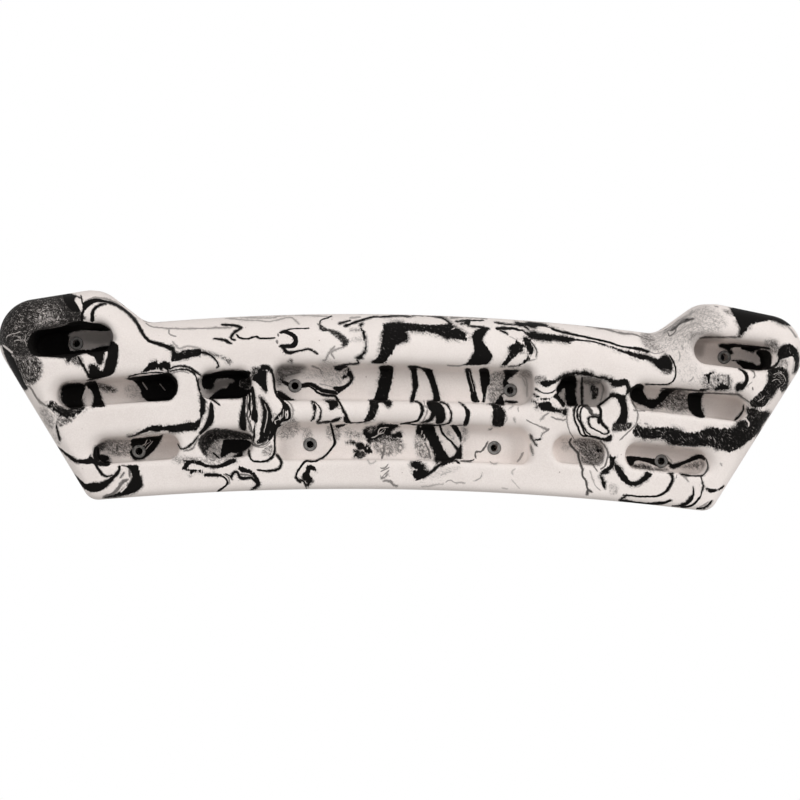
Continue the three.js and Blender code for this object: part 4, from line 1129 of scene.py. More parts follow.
# %% Smoke, and painted shade in a few holds, as (density, softness, places)
SMOKE_AND_SHADE = [
    (0.96, 2.5, [76, 295.5, 50, 290, 10, 308, -6, 325, -8, 345, 3, 346, 14, 356, 36, 358.5, 36, 345, 30, 334,
      82, 321, 83, 314, 74, 300]),
    (0.84, 6, [12, 338, 22, 311, 48, 301, 60, 306, 64, 317, 60, 325, 38, 330]),
    (0.66, 5, [38, 312, 48, 308, 60, 322, 35, 328]),
    (0.9, 3, [8, 341, 13, 331, 24, 325, 32, 330, 31, 337, 22, 345, 12, 346]),
    (0.15, 0.6, [73, 300, 77, 300, 83, 310, 77, 309]),
    (0.75, 3, [8, 358, 40, 358, 41, 378, 26, 385]),
    (0.62, 1, [54, 410, 68, 417, 76, 416, 75, 420, 61, 427, 55, 424, 57, 418]),
    (0.5, 4, [38, 408, 48, 408, 56, 420, 54, 430, 46, 428]),
    (0.4, 2, [52, 435, 60, 434, 61, 444, 58, 445]),
    (0.72, 3, [97, 382, 117, 388, 113, 394, 99, 390]),
    (0.35, 3, [126, 385, 138, 384, 144, 399, 127, 397]),
    # smoke and painted shade: the dark left end of the left three-finger pocket
    (0.85, 2, [95, 446, 108, 440, 112, 443, 108, 449, 97, 452]),
    (0.65, 2, [200, 348, 231, 359, 229, 366, 220, 358, 200, 355]),
    (0.65, 1, [291, 356.5, 294, 363, 288, 363, 287, 361]),
    (0.9, 1.5, [240, 376, 251, 376, 251, 388, 240, 388]),
    (0.75, 2, [251, 367, 262, 368, 262, 377, 252, 380]),
    # smoke and painted shade: the dark left end of the upper slot
    (0.55, 3, [277, 367, 300, 365, 306, 369, 288, 378, 281, 386, 276, 384]),
    (0.3, 2, [300, 370, 322, 369, 322, 376, 306, 380]),
    # smoke and painted shade: the left end and top of the lower left two-finger pocket
    (0.93, 2, [197.5, 440, 215, 428, 250, 434, 251, 440, 222, 439.5, 208, 451, 209, 456, 204, 456]),
    (0.5, 2, [210, 446, 221, 440, 221, 457, 209, 457]),
    (0.55, 1, [263, 449, 272, 444, 273, 453, 268, 457, 262, 455]),
    (0.95, 1, [318, 323, 328, 329.5, 325, 331.5, 320, 330]),
    (0.93, 1, [326, 329, 338, 331, 350, 341.5, 344, 347, 340, 345.5, 341, 342]),
    (0.5, 2, [350, 328, 360, 328, 360, 332, 350, 332]),
    (0.4, 2, [352, 337, 362, 337, 362, 342, 352, 342]),
    (0.55, 3, [640, 333, 655, 334, 668, 345, 664, 352, 645, 349]),
    (0.8, 2, [660, 368, 663, 374, 671, 374, 672, 366]),
    (0.7, 1.5, [339, 368, 347, 368, 347, 378, 340, 378]),
    (0.9, 2, [590, 384, 598, 388, 598, 396, 592, 400]),
    (0.93, 1, [615, 421, 632, 423, 628, 430, 612, 432]),
    (1, 1.5, [661, 389.5, 682, 390.5, 664, 402, 651, 404, 660.5, 394]),
    (0.8, 4, [659, 397, 672, 390, 684, 391, 660, 409, 650, 409]),
    # smoke and painted shade: the shaded inside of the right four-finger pocket
    (0.65, 5, [662, 395, 690, 391, 690, 412, 664, 410]),
    (0.6, 1, [699, 396, 704, 393, 703, 404, 706, 416, 701, 415]),
    (0.75, 3, [632, 464, 645, 463, 655, 467, 668, 468, 664, 472, 634, 469]),
    (0.55, 3, [678, 467, 700, 460, 706, 464, 700, 470]),
    (0.62, 2, [572, 440, 590, 438, 604, 446, 602, 466, 582, 463, 580, 456]),
    (0.45, 1.5, [609, 483, 618, 485, 617, 494, 610, 494]),
    (0.45, 3, [302, 428, 312, 429, 312, 440, 303, 441]),
    (1, 1.5, [366, 437, 372, 436, 373, 440, 369, 446]),
    (0.93, 1.5, [353, 448.5, 368, 453, 361, 459, 356, 457]),
    (0.95, 1.5, [383, 436, 401, 439, 401, 444, 390, 443, 378, 446]),
    (0.55, 3, [372, 441, 402, 441, 403, 452, 380, 457]),
    (0.5, 4, [345, 428, 362, 432, 366, 440, 346, 438]),
    (0.55, 2.5, [414, 436, 419, 436, 432, 458, 421, 459, 415, 452]),
    (0.5, 3, [460, 427, 468, 428, 468, 440, 463, 444]),
    (0.45, 2, [444, 431, 450, 430, 459, 444, 455, 447]),
    (0.3, 2, [428, 474, 452, 466, 462, 468, 436, 480]),
    (0.08, 4, [400, 463, 412, 466, 414, 478, 440, 478, 490, 466, 484, 480, 420, 488, 402, 480]),
    (0.4, 4, [652, 336, 664, 326, 676, 314, 706, 305, 727, 318, 722, 331, 700, 336, 692, 344, 690, 356,
      678, 362, 662, 352]),
    (0.25, 4, [664, 352, 690, 350, 706, 384, 678, 384, 672, 362]),
    (0.55, 2, [701, 377, 729, 374, 732, 391, 706, 391]),
    (0.8, 1, [670, 329, 684, 319, 694, 319, 682, 323, 673, 330.5]),
    (0.6, 1.5, [666, 330, 690, 311, 690, 315, 668, 332]),
    (0.6, 1.5, [722, 309, 732, 311, 736, 317, 728, 315]),
    (0.5, 1, [775, 366, 780, 361, 784, 359, 784, 366]),
    (0.55, 2, [490, 374, 506, 372, 508, 385, 500, 401, 488, 402]),
    (0.75, 2, [503, 370, 514, 370, 512, 377, 506, 378]),
    (0.7, 2, [64, 355, 80, 355, 84, 364, 76, 366]),
    (0.42, 5, [320, 360, 338, 362, 346, 372, 344, 384, 330, 388, 318, 378]),
    (0.5, 3, [262, 412, 296, 418, 300, 432, 284, 440, 270, 432]),
    (0.55, 3, [106, 440, 136, 440, 138, 452, 124, 458, 108, 454]),
    (0.5, 3, [176, 455, 200, 457, 232, 456, 236, 464, 178, 464]),
    (0.6, 3, [764, 340, 778, 340, 780, 352, 768, 354]),
    (0.55, 3, [776, 360, 788, 358, 788, 368, 778, 369]),
    (0.8, 2, [364, 427, 384, 426, 386, 438, 374, 442, 366, 437]),
    (0.6, 2, [582, 375, 600, 376, 601, 384, 584, 385]),
    # smoke and painted shade: the dark right end of the upper slot
    (0.5, 2, [518, 369, 530, 370, 532, 378, 520, 377]),
    (0.35, 3, [560, 438, 570, 438, 570, 450, 562, 450]),
    (0.55, 1, [535, 376, 546, 376, 546, 384, 536, 384]),
    (0.5, 2, [326, 426, 340, 426, 340, 440, 328, 440]),
]
print("smoke:", len(SMOKE_AND_SHADE))

# %% Painted shade in the ends and tops of holds, as (strength, softness, places)
PAINTED_SHADES = [
    (0.45, 3, [690, 332, 720, 334, 722, 340, 706, 344, 703, 356, 694, 354]),
    (0.5, 3, [274, 366, 300, 364, 306, 370, 281, 386, 274, 384]),
    (0.6, 1.5, [206, 390, 214, 382, 236, 377, 238, 384, 222, 388, 210, 394]),
    (0.3, 3, [522, 368, 532, 368, 533, 400, 526, 402]),
    (0.4, 2, [60, 336, 90, 330, 112, 332, 116, 340, 100, 344]),
]
print("stains:", len(PAINTED_SHADES))

# %% From the photograph's pixels to the board's millimetres
FRONT_MM_PER_PIXEL = BACK_MM_PER_PIXEL * (1 + BOARD_DEPTH / EYE[1])
LINE_GAIN, LINE_BLEED = 1.15, 0.35


def on_front(pixels):
    """Where the line of sight through each pixel meets the plane of the board's front, as x and z.
    The lens looks along its own -Z, and pixels are counted from the picture's top left corner."""
    across, down = (np.array(pixels, float).reshape(-1, 2).T - PICTURE_WIDTH / 2) / focal_pixels
    sight = np.column_stack([across, -down, 0 * across - 1]) @ np.array(camera_turn.to_3x3()).T
    reach = (-BOARD_DEPTH - EYE[1]) / sight[:, 1]
    return (EYE + sight * reach[:, None])[:, [0, 2]]


def soft_strokes(table):
    """Rows of (amount, size in millimetres, places in millimetres) from a table of closed strokes."""
    return [(amount, size * FRONT_MM_PER_PIXEL, on_front(places))
            for amount, size, places in table]


def thin_strokes(table, gain=1.0, bleed=0.0):
    """Rows of (widths, strength, places) in millimetres, a pixel's width made wider by the gain
    and the bleed, because pigment spreads a little past the line that was drawn."""
    return [((np.array(widths) * gain + bleed) * FRONT_MM_PER_PIXEL, strength, on_front(places))
            for widths, strength, places in table]


patch_strokes = [(torn * FRONT_MM_PER_PIXEL, flecked, on_front(places))
                 for torn, flecked, places in PATCHES]
line_strokes = thin_strokes(LINES, LINE_GAIN, LINE_BLEED)
pale_strokes = thin_strokes(PALE_LINES)
smoke_and_shade_strokes, painted_shade_strokes = soft_strokes(SMOKE_AND_SHADE), soft_strokes(PAINTED_SHADES)
print("a pixel on the front:", round(FRONT_MM_PER_PIXEL, 4), "mm")

# %% [markdown]
# ## From strokes to the skin
# A picture laid over the board would blur at this distance, so the strokes are stored on the mesh
# as distances instead. Every point of the skin learns how far inside or outside the nearest patch
# it lies. A distance changes evenly between neighbouring points, so the material can cut a crisp
# edge at zero anywhere in between, finer than the mesh itself. A thread thinner than the mesh
# would fall between the points, so a line stores on which side of it a point lies, and how far:
# the line runs where that number passes zero. Lines that run close together go to different
# layers, or their numbers would mix.

# %% Curves and distances to them
CURVE_PIECES = 3


def curve_through(places, closed):
    """From b to c, with a before and d after, the curve at share t is
    b + t/2 ((c - a) + t ((2a - 5b + 4c - d) + t (3 (b - c) + d - a)))."""
    if closed:
        a, b, c, d = np.roll(places, 1, 0), places, np.roll(places, -1, 0), np.roll(places, -2, 0)
    else:
        longer = np.vstack([2 * places[0] - places[1], places, 2 * places[-1] - places[-2]])
        a, b, c, d = longer[:-3], longer[1:-2], longer[2:-1], longer[3:]
    t = np.arange(CURVE_PIECES)[:, None, None] / CURVE_PIECES
    curve = b + t / 2 * ((c - a) + t * ((2 * a - 5 * b + 4 * c - d) + t * (3 * (b - c) + d - a)))
    last = places[:1] if closed else places[-1:]
    return np.vstack([curve.transpose(1, 0, 2).reshape(-1, 2), last])


def nearest_on(places, curve):
    """Distance to the curve's nearest piece, distance to one side of it (left is positive), and
    how far along the curve that piece is, from 0 to 1."""
    start, way = curve[:-1], np.diff(curve, axis=0)
    offset = places[:, None] - start
    share = np.clip((offset * way).sum(-1) / (way ** 2).sum(-1), 0, 1)
    away = np.linalg.norm(offset - share[..., None] * way, axis=-1)
    piece, row = away.argmin(axis=1), np.arange(len(places))
    way, offset = way[piece], offset[row, piece]
    side = (way[:, 0] * offset[:, 1] - way[:, 1] * offset[:, 0]) / np.linalg.norm(way, axis=1)
    return away[row, piece], side, (piece + share[row, piece]) / len(start)


def depth_inside(places, curve):
    """Distance to a closed curve, positive inside: a ray from an inside place crosses it an odd
    number of times."""
    x, z = places.T[:, :, None]
    (ax, az), (bx, bz) = curve[:-1].T, curve[1:].T
    slope = (bx - ax) / np.where(az == bz, 1, bz - az)
    crossings = (((az > z) != (bz > z)) & (x < ax + slope * (z - az))).sum(axis=1)
    return nearest_on(places, curve)[0] * np.where(crossings % 2 == 1, 1, -1)


def close_to(places, curve, reach):
    """Numbers of the places inside the curve's box, widened by the reach."""
    low, high = curve.min(axis=0) - reach, curve.max(axis=0) + reach
    return np.flatnonzero(((places > low) & (places < high)).all(axis=1))


def spread_over_layers(curves, gap=6.0):
    """Each curve takes the first layer in which no earlier curve comes within the gap."""
    layers = []
    for number, curve in enumerate(curves):
        taken = {layer for layer, other in zip(layers, curves[:number])
                 if len(close_to(curve, other, gap)) and nearest_on(curve, other)[0].min() < gap}
        layers.append(min(set(range(len(taken) + 1)) - taken))
    return layers


line_curves = [curve_through(places, False) for _, _, places in line_strokes]
line_layers = spread_over_layers(line_curves)
LAYERS = max(line_layers) + 1
print("layers of lines:", LAYERS, [line_layers.count(layer) for layer in range(LAYERS)])

# %% Where each point of the skin lies in the drawing
skin = np.empty(len(board.data.vertices) * 3)
board.data.vertices.foreach_get("co", skin)
skin = skin.reshape(-1, 3) / MM
depth = skin[:, 1] + BOARD_DEPTH
SIDE_FADE, EDGE_FADE, BACK_FADE = (22, 40), (3, 9), (56, 56.8)
DRIFT, LONG_WAVES, SHORT_WAVES = 7, (19, 23), (7, 9)


def seen_on_front(points):
    """Where the line from the eye through each point meets the plane of the board's front, so
    that a stroke stays one stroke where it runs over a lip and down into a hold."""
    reach = (-BOARD_DEPTH - EYE[1]) / (points[:, 1] - EYE[1])
    return EYE[[0, 2]] + (points[:, [0, 2]] - EYE[[0, 2]]) * reach[:, None]


inside_outline = look_up(skin[:, 0], skin[:, 2])[:, 0]
on_side = smooth_step(depth, *SIDE_FADE) * (1 - smooth_step(inside_outline, *EDGE_FADE))
out_of_sight = np.maximum(on_side, smooth_step(depth, *BACK_FADE))
drift = np.column_stack([np.sin(skin[:, 2] / LONG_WAVES[0] + depth / SHORT_WAVES[0]),
                         np.sin(skin[:, 0] / LONG_WAVES[1] - depth / SHORT_WAVES[1])])
places = seen_on_front(skin) + DRIFT * out_of_sight[:, None] * drift
print("points out of the photograph's sight:", int((out_of_sight > 0.5).sum()))

# %% Store the strokes on the points
FAR, NO_LINE, NO_PATCH = 9.0, -3.0, -6.0
LINE_REACH, PATCH_REACH, END_FREE, END_TAPER = 4.0, 6.0, 2.2, 1.5


def keep(name, values):
    """Stores one number, or a row of three, for every point of the skin."""
    values = np.asarray(values, np.float32)
    kind, field_name = ("FLOAT", "value") if values.ndim == 1 else ("FLOAT_VECTOR", "vector")
    board.data.attributes.new(name, kind, "POINT").data.foreach_set(field_name, values.ravel())


def lay_lines(curves, lines):
    """Rows of (side, half width less what the place lies beyond the end, strength), taken from
    the line that comes nearest. Ink lies where |side| is under the second number."""
    rows = np.tile([FAR, NO_LINE, 0.0], (len(places), 1))
    nearest = np.full(len(places), LINE_REACH)
    for curve, (widths, strength, _) in zip(curves, lines):
        near = close_to(places, curve, LINE_REACH)
        away, side, share = nearest_on(places[near], curve)
        half = np.interp(share, np.linspace(0, 1, len(widths)), widths) / 2
        half = half - (away - np.abs(side)) - END_TAPER * np.maximum(away - END_FREE, 0)
        closer = away < nearest[near]
        nearest[near[closer]] = away[closer]
        rows[near[closer]] = np.column_stack([side, half, np.full(len(side), strength)])[closer]
    return rows


patch = np.tile([NO_PATCH, 0.0, 0.0], (len(places), 1))
for torn, flecked, corners in patch_strokes:
    curve = curve_through(corners, True)
    near = close_to(places, curve, PATCH_REACH)
    inwards = depth_inside(places[near], curve)
    deeper = inwards > patch[near, 0]
    patch[near[deeper]] = np.column_stack([inwards, 0 * inwards + torn, 0 * inwards + flecked])[deeper]
keep("patch", patch)
for layer in range(LAYERS):
    chosen = [number for number, of in enumerate(line_layers) if of == layer]
    keep(f"line {layer + 1}",
         lay_lines([line_curves[n] for n in chosen], [line_strokes[n] for n in chosen]))
pale_curves = [curve_through(corners, False) for _, _, corners in pale_strokes]
keep("pale line", lay_lines(pale_curves, pale_strokes))
keep("out of sight", out_of_sight)
print("inked points:", int((patch[:, 0] > 0).sum()))

# %% Comb the hairs
# The hairs lean by an angle in radians. A swirl has its middle and its reach in millimetres, and
# whether its hairs run round it or outwards.
LEAN = 0.7
SWIRLS = (((-256, 35), 50, False), ((233, 38), 52, True))
SWIRL_PITCH, SWIRL_EDGE, SWIRL_RISE = 25, 6, (-8, 2)
combed = np.column_stack([skin[:, 0] * np.cos(LEAN) + skin[:, 2] * np.sin(LEAN), skin[:, 1],
                          skin[:, 2] * np.cos(LEAN) - skin[:, 0] * np.sin(LEAN)])
for middle, reach, goes_round in SWIRLS:
    away = places - middle
    radius, round_it = np.hypot(*away.T), SWIRL_PITCH * np.arctan2(away[:, 0], away[:, 1])
    across, along = (radius, round_it) if goes_round else (round_it, radius)
    share = 1 - smooth_step(radius, reach - SWIRL_EDGE, reach)
    share = share * smooth_step(away[:, 1], *SWIRL_RISE)
    combed += (np.column_stack([across, skin[:, 1], along]) - combed) * share[:, None]
keep("combed", combed * MM)
print("combed points:", len(combed))

# %% Store the soft marks
def lay_soft(shapes):
    """Each shape pulls the value inside it to its own, over a soft edge."""
    value = np.zeros(len(places))
    for amount, soft, corners in shapes:
        curve = curve_through(corners, True)
        near = close_to(places, curve, soft)
        cover = smooth_step(depth_inside(places[near], curve), -soft, soft)
        value[near] += (amount - value[near]) * cover
    return value


smoke_and_shade = lay_soft(smoke_and_shade_strokes)
keep("smoke_and_shade", smoke_and_shade)
# painted shade: a brown-grey darkening of the white resin where the ends and tops of holds lie in shade
keep("painted_shade", lay_soft(painted_shade_strokes))
print("smoky points:", int((smoke_and_shade > 0.2).sum()))

# %% [markdown]
# ## Materials
# Each finish is a short row of nodes. The helpers below add a node, a sum and a soft step, so
# that a material reads as a recipe. Each effect of the pour, such as a line, a torn patch or the
# smoke, is a node group of its own, and the material places it with its own values.

# %% Helpers for nodes
def add(tree, kind, *values, **settings):
    """A new node. A value may be a number, a colour or another node's output, and None leaves
    the input as it is."""
    made = tree.nodes.new("ShaderNode" + kind)
    for name, setting in settings.items():
        setattr(made, name, setting)
    for socket, value in zip(made.inputs, values):
        if isinstance(value, bpy.types.NodeSocket):
            tree.links.new(value, socket)
        elif value is not None:
            socket.default_value = value
    return made


def sum_of(tree, operation, *values):
    return add(tree, "Math", *values, operation=operation).outputs[0]


def vector_sum(tree, operation, *values):
    return add(tree, "VectorMath", *values, operation=operation).outputs[0]


def blend(tree, share, first, second):
    """A colour that runs from the first, at share 0, to the second, at share 1. The five inputs
    passed over are the Mix node's numbers and vectors."""
    return add(tree, "Mix", share, *[None] * 5, first, second, data_type="RGBA").outputs[2]


def soft_step(tree, value, low, high, start=0.0, end=1.0):
    """start below low, end above high, and an S-shaped run between."""
    return add(tree, "MapRange", value, low, high, start, end,
               interpolation_type="SMOOTHSTEP").outputs[0]


def noise(tree, place, stretch, detail=2.0, rough=0.5, distortion=0.0):
    """Noise whose lumps are about 1 / stretch metres long in x, y and z."""
    scaled = vector_sum(tree, "MULTIPLY", place, stretch)
    return add(tree, "TexNoise", scaled, None, 1.0, detail, rough, None, None, None,
               distortion).outputs[0]


def new_group(name, inputs, outputs):
    """A node group with named sockets, given as (name, "Float", "Vector" or "Color")."""
    group = bpy.data.node_groups.new(name, "ShaderNodeTree")
    for way, sockets in (("INPUT", inputs), ("OUTPUT", outputs)):
        for socket, kind in sockets:
            group.interface.new_socket(socket, in_out=way, socket_type="NodeSocket" + kind)
    return group, group.nodes.new("NodeGroupInput").outputs, group.nodes.new("NodeGroupOutput").inputs


def place_group(tree, group, *values):
    return add(tree, "Group", *values, node_tree=group).outputs


# %% Group: one thin line of pigment
LINE_EDGE, LINE_HALO = (-0.16, 0.16), (-1.7, 0.1)
tree, given, out = new_group("thin line", [("Line", "Vector"), ("Wobble", "Float")],
                             [("Ink", "Float"), ("Halo", "Float")])
line_group = tree
side, half_width, strength = add(tree, "SeparateXYZ", given["Line"]).outputs
side = sum_of(tree, "ABSOLUTE", sum_of(tree, "ADD", side, given["Wobble"]))
over_edge = sum_of(tree, "SUBTRACT", half_width, side)
for name, edge in (("Ink", LINE_EDGE), ("Halo", LINE_HALO)):
    tree.links.new(sum_of(tree, "MULTIPLY", soft_step(tree, over_edge, *edge), strength), out[name])
print(tree.name + ":", len(tree.nodes), "nodes")

# %% Group: hairs drawn out by the pour
HAIR_STRETCH, BEND_SCALE, BEND_SIZE = (1250, 1250, 230), 26.0, (0.03, 0.03, 0.03)
tree, given, out = new_group("drawn hairs", [("Place", "Vector")], [("Hairs", "Float")])
hair_group = tree
bend = add(tree, "TexNoise", given["Place"], None, BEND_SCALE, 2.0).outputs["Color"]
bend = vector_sum(tree, "SUBTRACT", bend, (0.5, 0.5, 0.5))
bend = vector_sum(tree, "MULTIPLY", bend, BEND_SIZE)
bend = vector_sum(tree, "ADD", bend, given["Place"])
tree.links.new(noise(tree, bend, HAIR_STRETCH, 3.0, 0.65), out["Hairs"])
print(tree.name + ":", len(tree.nodes), "nodes")

# %% Group: a torn and flecked patch
TEETH_STRETCH, TEETH_LENGTH, LONGER_WHEN_TORN = (900, 900, 300), 0.7, 5.0
HALO_REACH, WIDER_WHEN_TORN, PATCH_EDGE = -1.2, -3.2, (-0.4, 0.05)
FLECK_LEVEL, MORE_WHEN_FLECKED, FLECK_EDGE, FLECK_PALE = 0.76, -0.2, (-0.04, 0.1), 0.5
tree, given, out = new_group("torn patch",
                             [("Patch", "Vector"), ("Place", "Vector"), ("Hairs", "Float")],
                             [("Ink", "Float"), ("Halo", "Float")])
patch_group = tree
inwards, torn, flecked = add(tree, "SeparateXYZ", given["Patch"]).outputs
reach = sum_of(tree, "MULTIPLY_ADD", torn, WIDER_WHEN_TORN, HALO_REACH)
halo = sum_of(tree, "SUBTRACT", 1.0, sum_of(tree, "DIVIDE", inwards, reach))
tree.links.new(add(tree, "Clamp", halo).outputs[0], out["Halo"])
teeth = sum_of(tree, "SUBTRACT", noise(tree, given["Place"], TEETH_STRETCH, 3.0, 0.6), 0.5)
length = sum_of(tree, "MULTIPLY_ADD", torn, LONGER_WHEN_TORN, TEETH_LENGTH)
inked = soft_step(tree, sum_of(tree, "MULTIPLY_ADD", teeth, length, inwards), *PATCH_EDGE)
level = sum_of(tree, "MULTIPLY_ADD", flecked, MORE_WHEN_FLECKED, FLECK_LEVEL)
fleck = soft_step(tree, sum_of(tree, "SUBTRACT", given["Hairs"], level), *FLECK_EDGE)
kept = sum_of(tree, "SUBTRACT", 1.0, sum_of(tree, "MULTIPLY", fleck, FLECK_PALE))
tree.links.new(sum_of(tree, "MULTIPLY", inked, kept), out["Ink"])
print(tree.name + ":", len(tree.nodes), "nodes")

# %% Group: smoke, and painted shade in a few holds, that breaks up into specks and cells
CELL_STRETCH, SPECK_STRETCH = (430, 430, 430), (1250, 1250, 1000)
CELL_SHARE, SPECK_SHARE, HAIR_SHARE = 0.1, 0.52, 0.44
EMPTY_LEVEL, LOWER_WHEN_DENSE, SMOKE_EDGE, GREY_VEIL = 0.66, -0.26, (-0.12, 0.1), 0.16
tree, given, out = new_group("smoke_and_shade", [("Density", "Float"), ("Place", "Vector"), ("Hairs", "Float")],
                             [("Ink", "Float")])
smoke_and_shade_group, density = tree, given["Density"]
pulled = vector_sum(tree, "MULTIPLY", given["Place"], CELL_STRETCH)
bent = add(tree, "TexNoise", pulled, None, 0.45, 2.0).outputs["Color"]
cells = add(tree, "TexVoronoi", vector_sum(tree, "ADD", pulled, bent), None, 1.0).outputs["Distance"]
specks = noise(tree, given["Place"], SPECK_STRETCH, 4.0, 0.8)
mixed = sum_of(tree, "MULTIPLY_ADD", cells, CELL_SHARE,
               sum_of(tree, "MULTIPLY", specks, SPECK_SHARE))
mixed = sum_of(tree, "MULTIPLY_ADD", given["Hairs"], HAIR_SHARE, mixed)
level = sum_of(tree, "MULTIPLY_ADD", density, LOWER_WHEN_DENSE, EMPTY_LEVEL)
over = soft_step(tree, sum_of(tree, "SUBTRACT", mixed, level), *SMOKE_EDGE)
strength = soft_step(tree, density, 0.05, 0.75, 0.3, 1.0)
present = soft_step(tree, density, 0.02, 0.15)
veil = sum_of(tree, "MULTIPLY", density, GREY_VEIL)
veil = sum_of(tree, "MAXIMUM", veil, sum_of(tree, "MULTIPLY", over, strength))
tree.links.new(sum_of(tree, "MULTIPLY", veil, present), out["Ink"])
print(tree.name + ":", len(tree.nodes), "nodes")

# %% Group: marbling of the sides and the back
FLOW_STRETCH, RAGGED_STRETCH, RAGGED_SHARE = (11, 11, 16), (520, 520, 300), 0.09
THREAD_LEVEL, THREAD_EDGE, BAND_EDGE = 0.47, (0.004, 0.012), (0.645, 0.66)
tree, given, out = new_group("veins", [("Place", "Vector")], [("Ink", "Float")])
veins_group = tree
flow = noise(tree, given["Place"], FLOW_STRETCH, 5.0, 0.55, 1.6)
thread = sum_of(tree, "ABSOLUTE", sum_of(tree, "SUBTRACT", flow, THREAD_LEVEL))
thread = soft_step(tree, thread, *THREAD_EDGE, 1.0, 0.0)
ragged = noise(tree, given["Place"], RAGGED_STRETCH, 3.0, 0.6)
band = soft_step(tree, sum_of(tree, "MULTIPLY_ADD", ragged, RAGGED_SHARE, flow), *BAND_EDGE)
tree.links.new(sum_of(tree, "MAXIMUM", band, thread), out["Ink"])
print(tree.name + ":", len(tree.nodes), "nodes")

# %% Group: grain of the sanded resin
FINE_STRETCH, CLOUD_STRETCH, DOT_STRETCH = (1500, 1500, 1500), (28, 28, 28), (110, 110, 110)
FINE_SHARE, CLOUD_SHARE, DOT_EDGE, DOT_RARITY = 0.6, 0.4, (0.03, 0.07), (0.72, 0.76)
tree, given, out = new_group("resin grain", [("Place", "Vector")],
                             [("Tint", "Float"), ("Height", "Float"), ("Specks", "Float")])
grain_group = tree
fine = noise(tree, given["Place"], FINE_STRETCH, 2.0, 0.6)
cloud = noise(tree, given["Place"], CLOUD_STRETCH, 3.0, 0.5)
tree.links.new(sum_of(tree, "ADD", sum_of(tree, "MULTIPLY", fine, FINE_SHARE),
                      sum_of(tree, "MULTIPLY", cloud, CLOUD_SHARE)), out["Tint"])
tree.links.new(fine, out["Height"])
dots = add(tree, "TexVoronoi", vector_sum(tree, "MULTIPLY", given["Place"], DOT_STRETCH), None, 1.0)
small = soft_step(tree, dots.outputs["Distance"], *DOT_EDGE, 1.0, 0.0)
rare = soft_step(tree, add(tree, "SeparateXYZ", dots.outputs["Color"]).outputs[0], *DOT_RARITY)
tree.links.new(sum_of(tree, "MULTIPLY", small, rare), out["Specks"])
print(tree.name + ":", len(tree.nodes), "nodes")

# %% [markdown]
# ## The marbled resin
# The recipe gathers the black first, from patches, lines and smoke, of which a few are painted shade
# and painted shadow in the holds, takes away the pale lines that cross it, and lays it over the white
# resin with its specks and a brown-grey painted shade in the ends and tops of holds. The cast surface
# is matt and slightly gritty, so the grain drives a fine bump and the roughness. The black is a touch
# smoother than the white.

# %% Material: marbled resin
WARM_WHITE, CLEAR_WHITE = (0.81, 0.735, 0.695, 1), (0.90, 0.83, 0.79, 1)
SPECK_BROWN, PAINTED_SHADE_BROWN = (0.16, 0.07, 0.05, 1), (0.045, 0.036, 0.033, 1)
DEEP_BLACK, DUSTY_BLACK = (0.002, 0.0018, 0.0016, 1), (0.007, 0.006, 0.0055, 1)
WOBBLE_STRETCH, WOBBLE, SMOKE_BLACK, BLACK_SMOOTHER = (420, 420, 420), 1.1, 0.985, -0.06
FRINGE_STRETCH, FRINGE, ROUGHNESS = (70, 70, 70), (0.38, 0.6, 0.1, 0.75), (0.3, 0.7, 0.66, 0.82)
GRAIN_BUMP = (0.35, 0.00012)

resin = bpy.data.materials.new("marbled resin")
resin.use_nodes = True
tree = resin.node_tree
surface = tree.nodes["Principled BSDF"]
place = add(tree, "TexCoord").outputs["Object"]


def stored(name, output="Vector"):
    return add(tree, "Attribute", attribute_name=name).outputs[output]


wobble = sum_of(tree, "SUBTRACT", noise(tree, place, WOBBLE_STRETCH), 0.5)
wobble = sum_of(tree, "MULTIPLY", wobble, WOBBLE)
hairs = place_group(tree, hair_group, stored("combed"))["Hairs"]
patches = place_group(tree, patch_group, stored("patch"), place, hairs)
ink, halo = patches["Ink"], patches["Halo"]
for layer in range(LAYERS):
    line = place_group(tree, line_group, stored(f"line {layer + 1}"), wobble)
    ink = sum_of(tree, "MAXIMUM", ink, line["Ink"])
    halo = sum_of(tree, "MAXIMUM", halo, line["Halo"])
fringed = soft_step(tree, noise(tree, place, FRINGE_STRETCH), *FRINGE)
# the smoke values hold smoke and, in a few holds, painted shade
cover = sum_of(tree, "MAXIMUM", stored("smoke_and_shade", "Fac"), sum_of(tree, "MULTIPLY", halo, fringed))
smoke_and_shade_ink = place_group(tree, smoke_and_shade_group, cover, place, hairs)["Ink"]
ink = sum_of(tree, "MAXIMUM", ink, sum_of(tree, "MULTIPLY", smoke_and_shade_ink, SMOKE_BLACK))
pale = place_group(tree, line_group, stored("pale line"), wobble)["Ink"]
ink = sum_of(tree, "MULTIPLY", ink, sum_of(tree, "SUBTRACT", 1.0, pale))
veins = place_group(tree, veins_group, place)["Ink"]
hidden = stored("out of sight", "Fac")
ink = add(tree, "Mix", hidden, None, ink, veins, data_type="FLOAT").outputs[0]

grain = place_group(tree, grain_group, place)
white = blend(tree, soft_step(tree, grain["Tint"], 0.36, 0.64), WARM_WHITE, CLEAR_WHITE)
white = blend(tree, sum_of(tree, "MULTIPLY", grain["Specks"], 0.7), white, SPECK_BROWN)
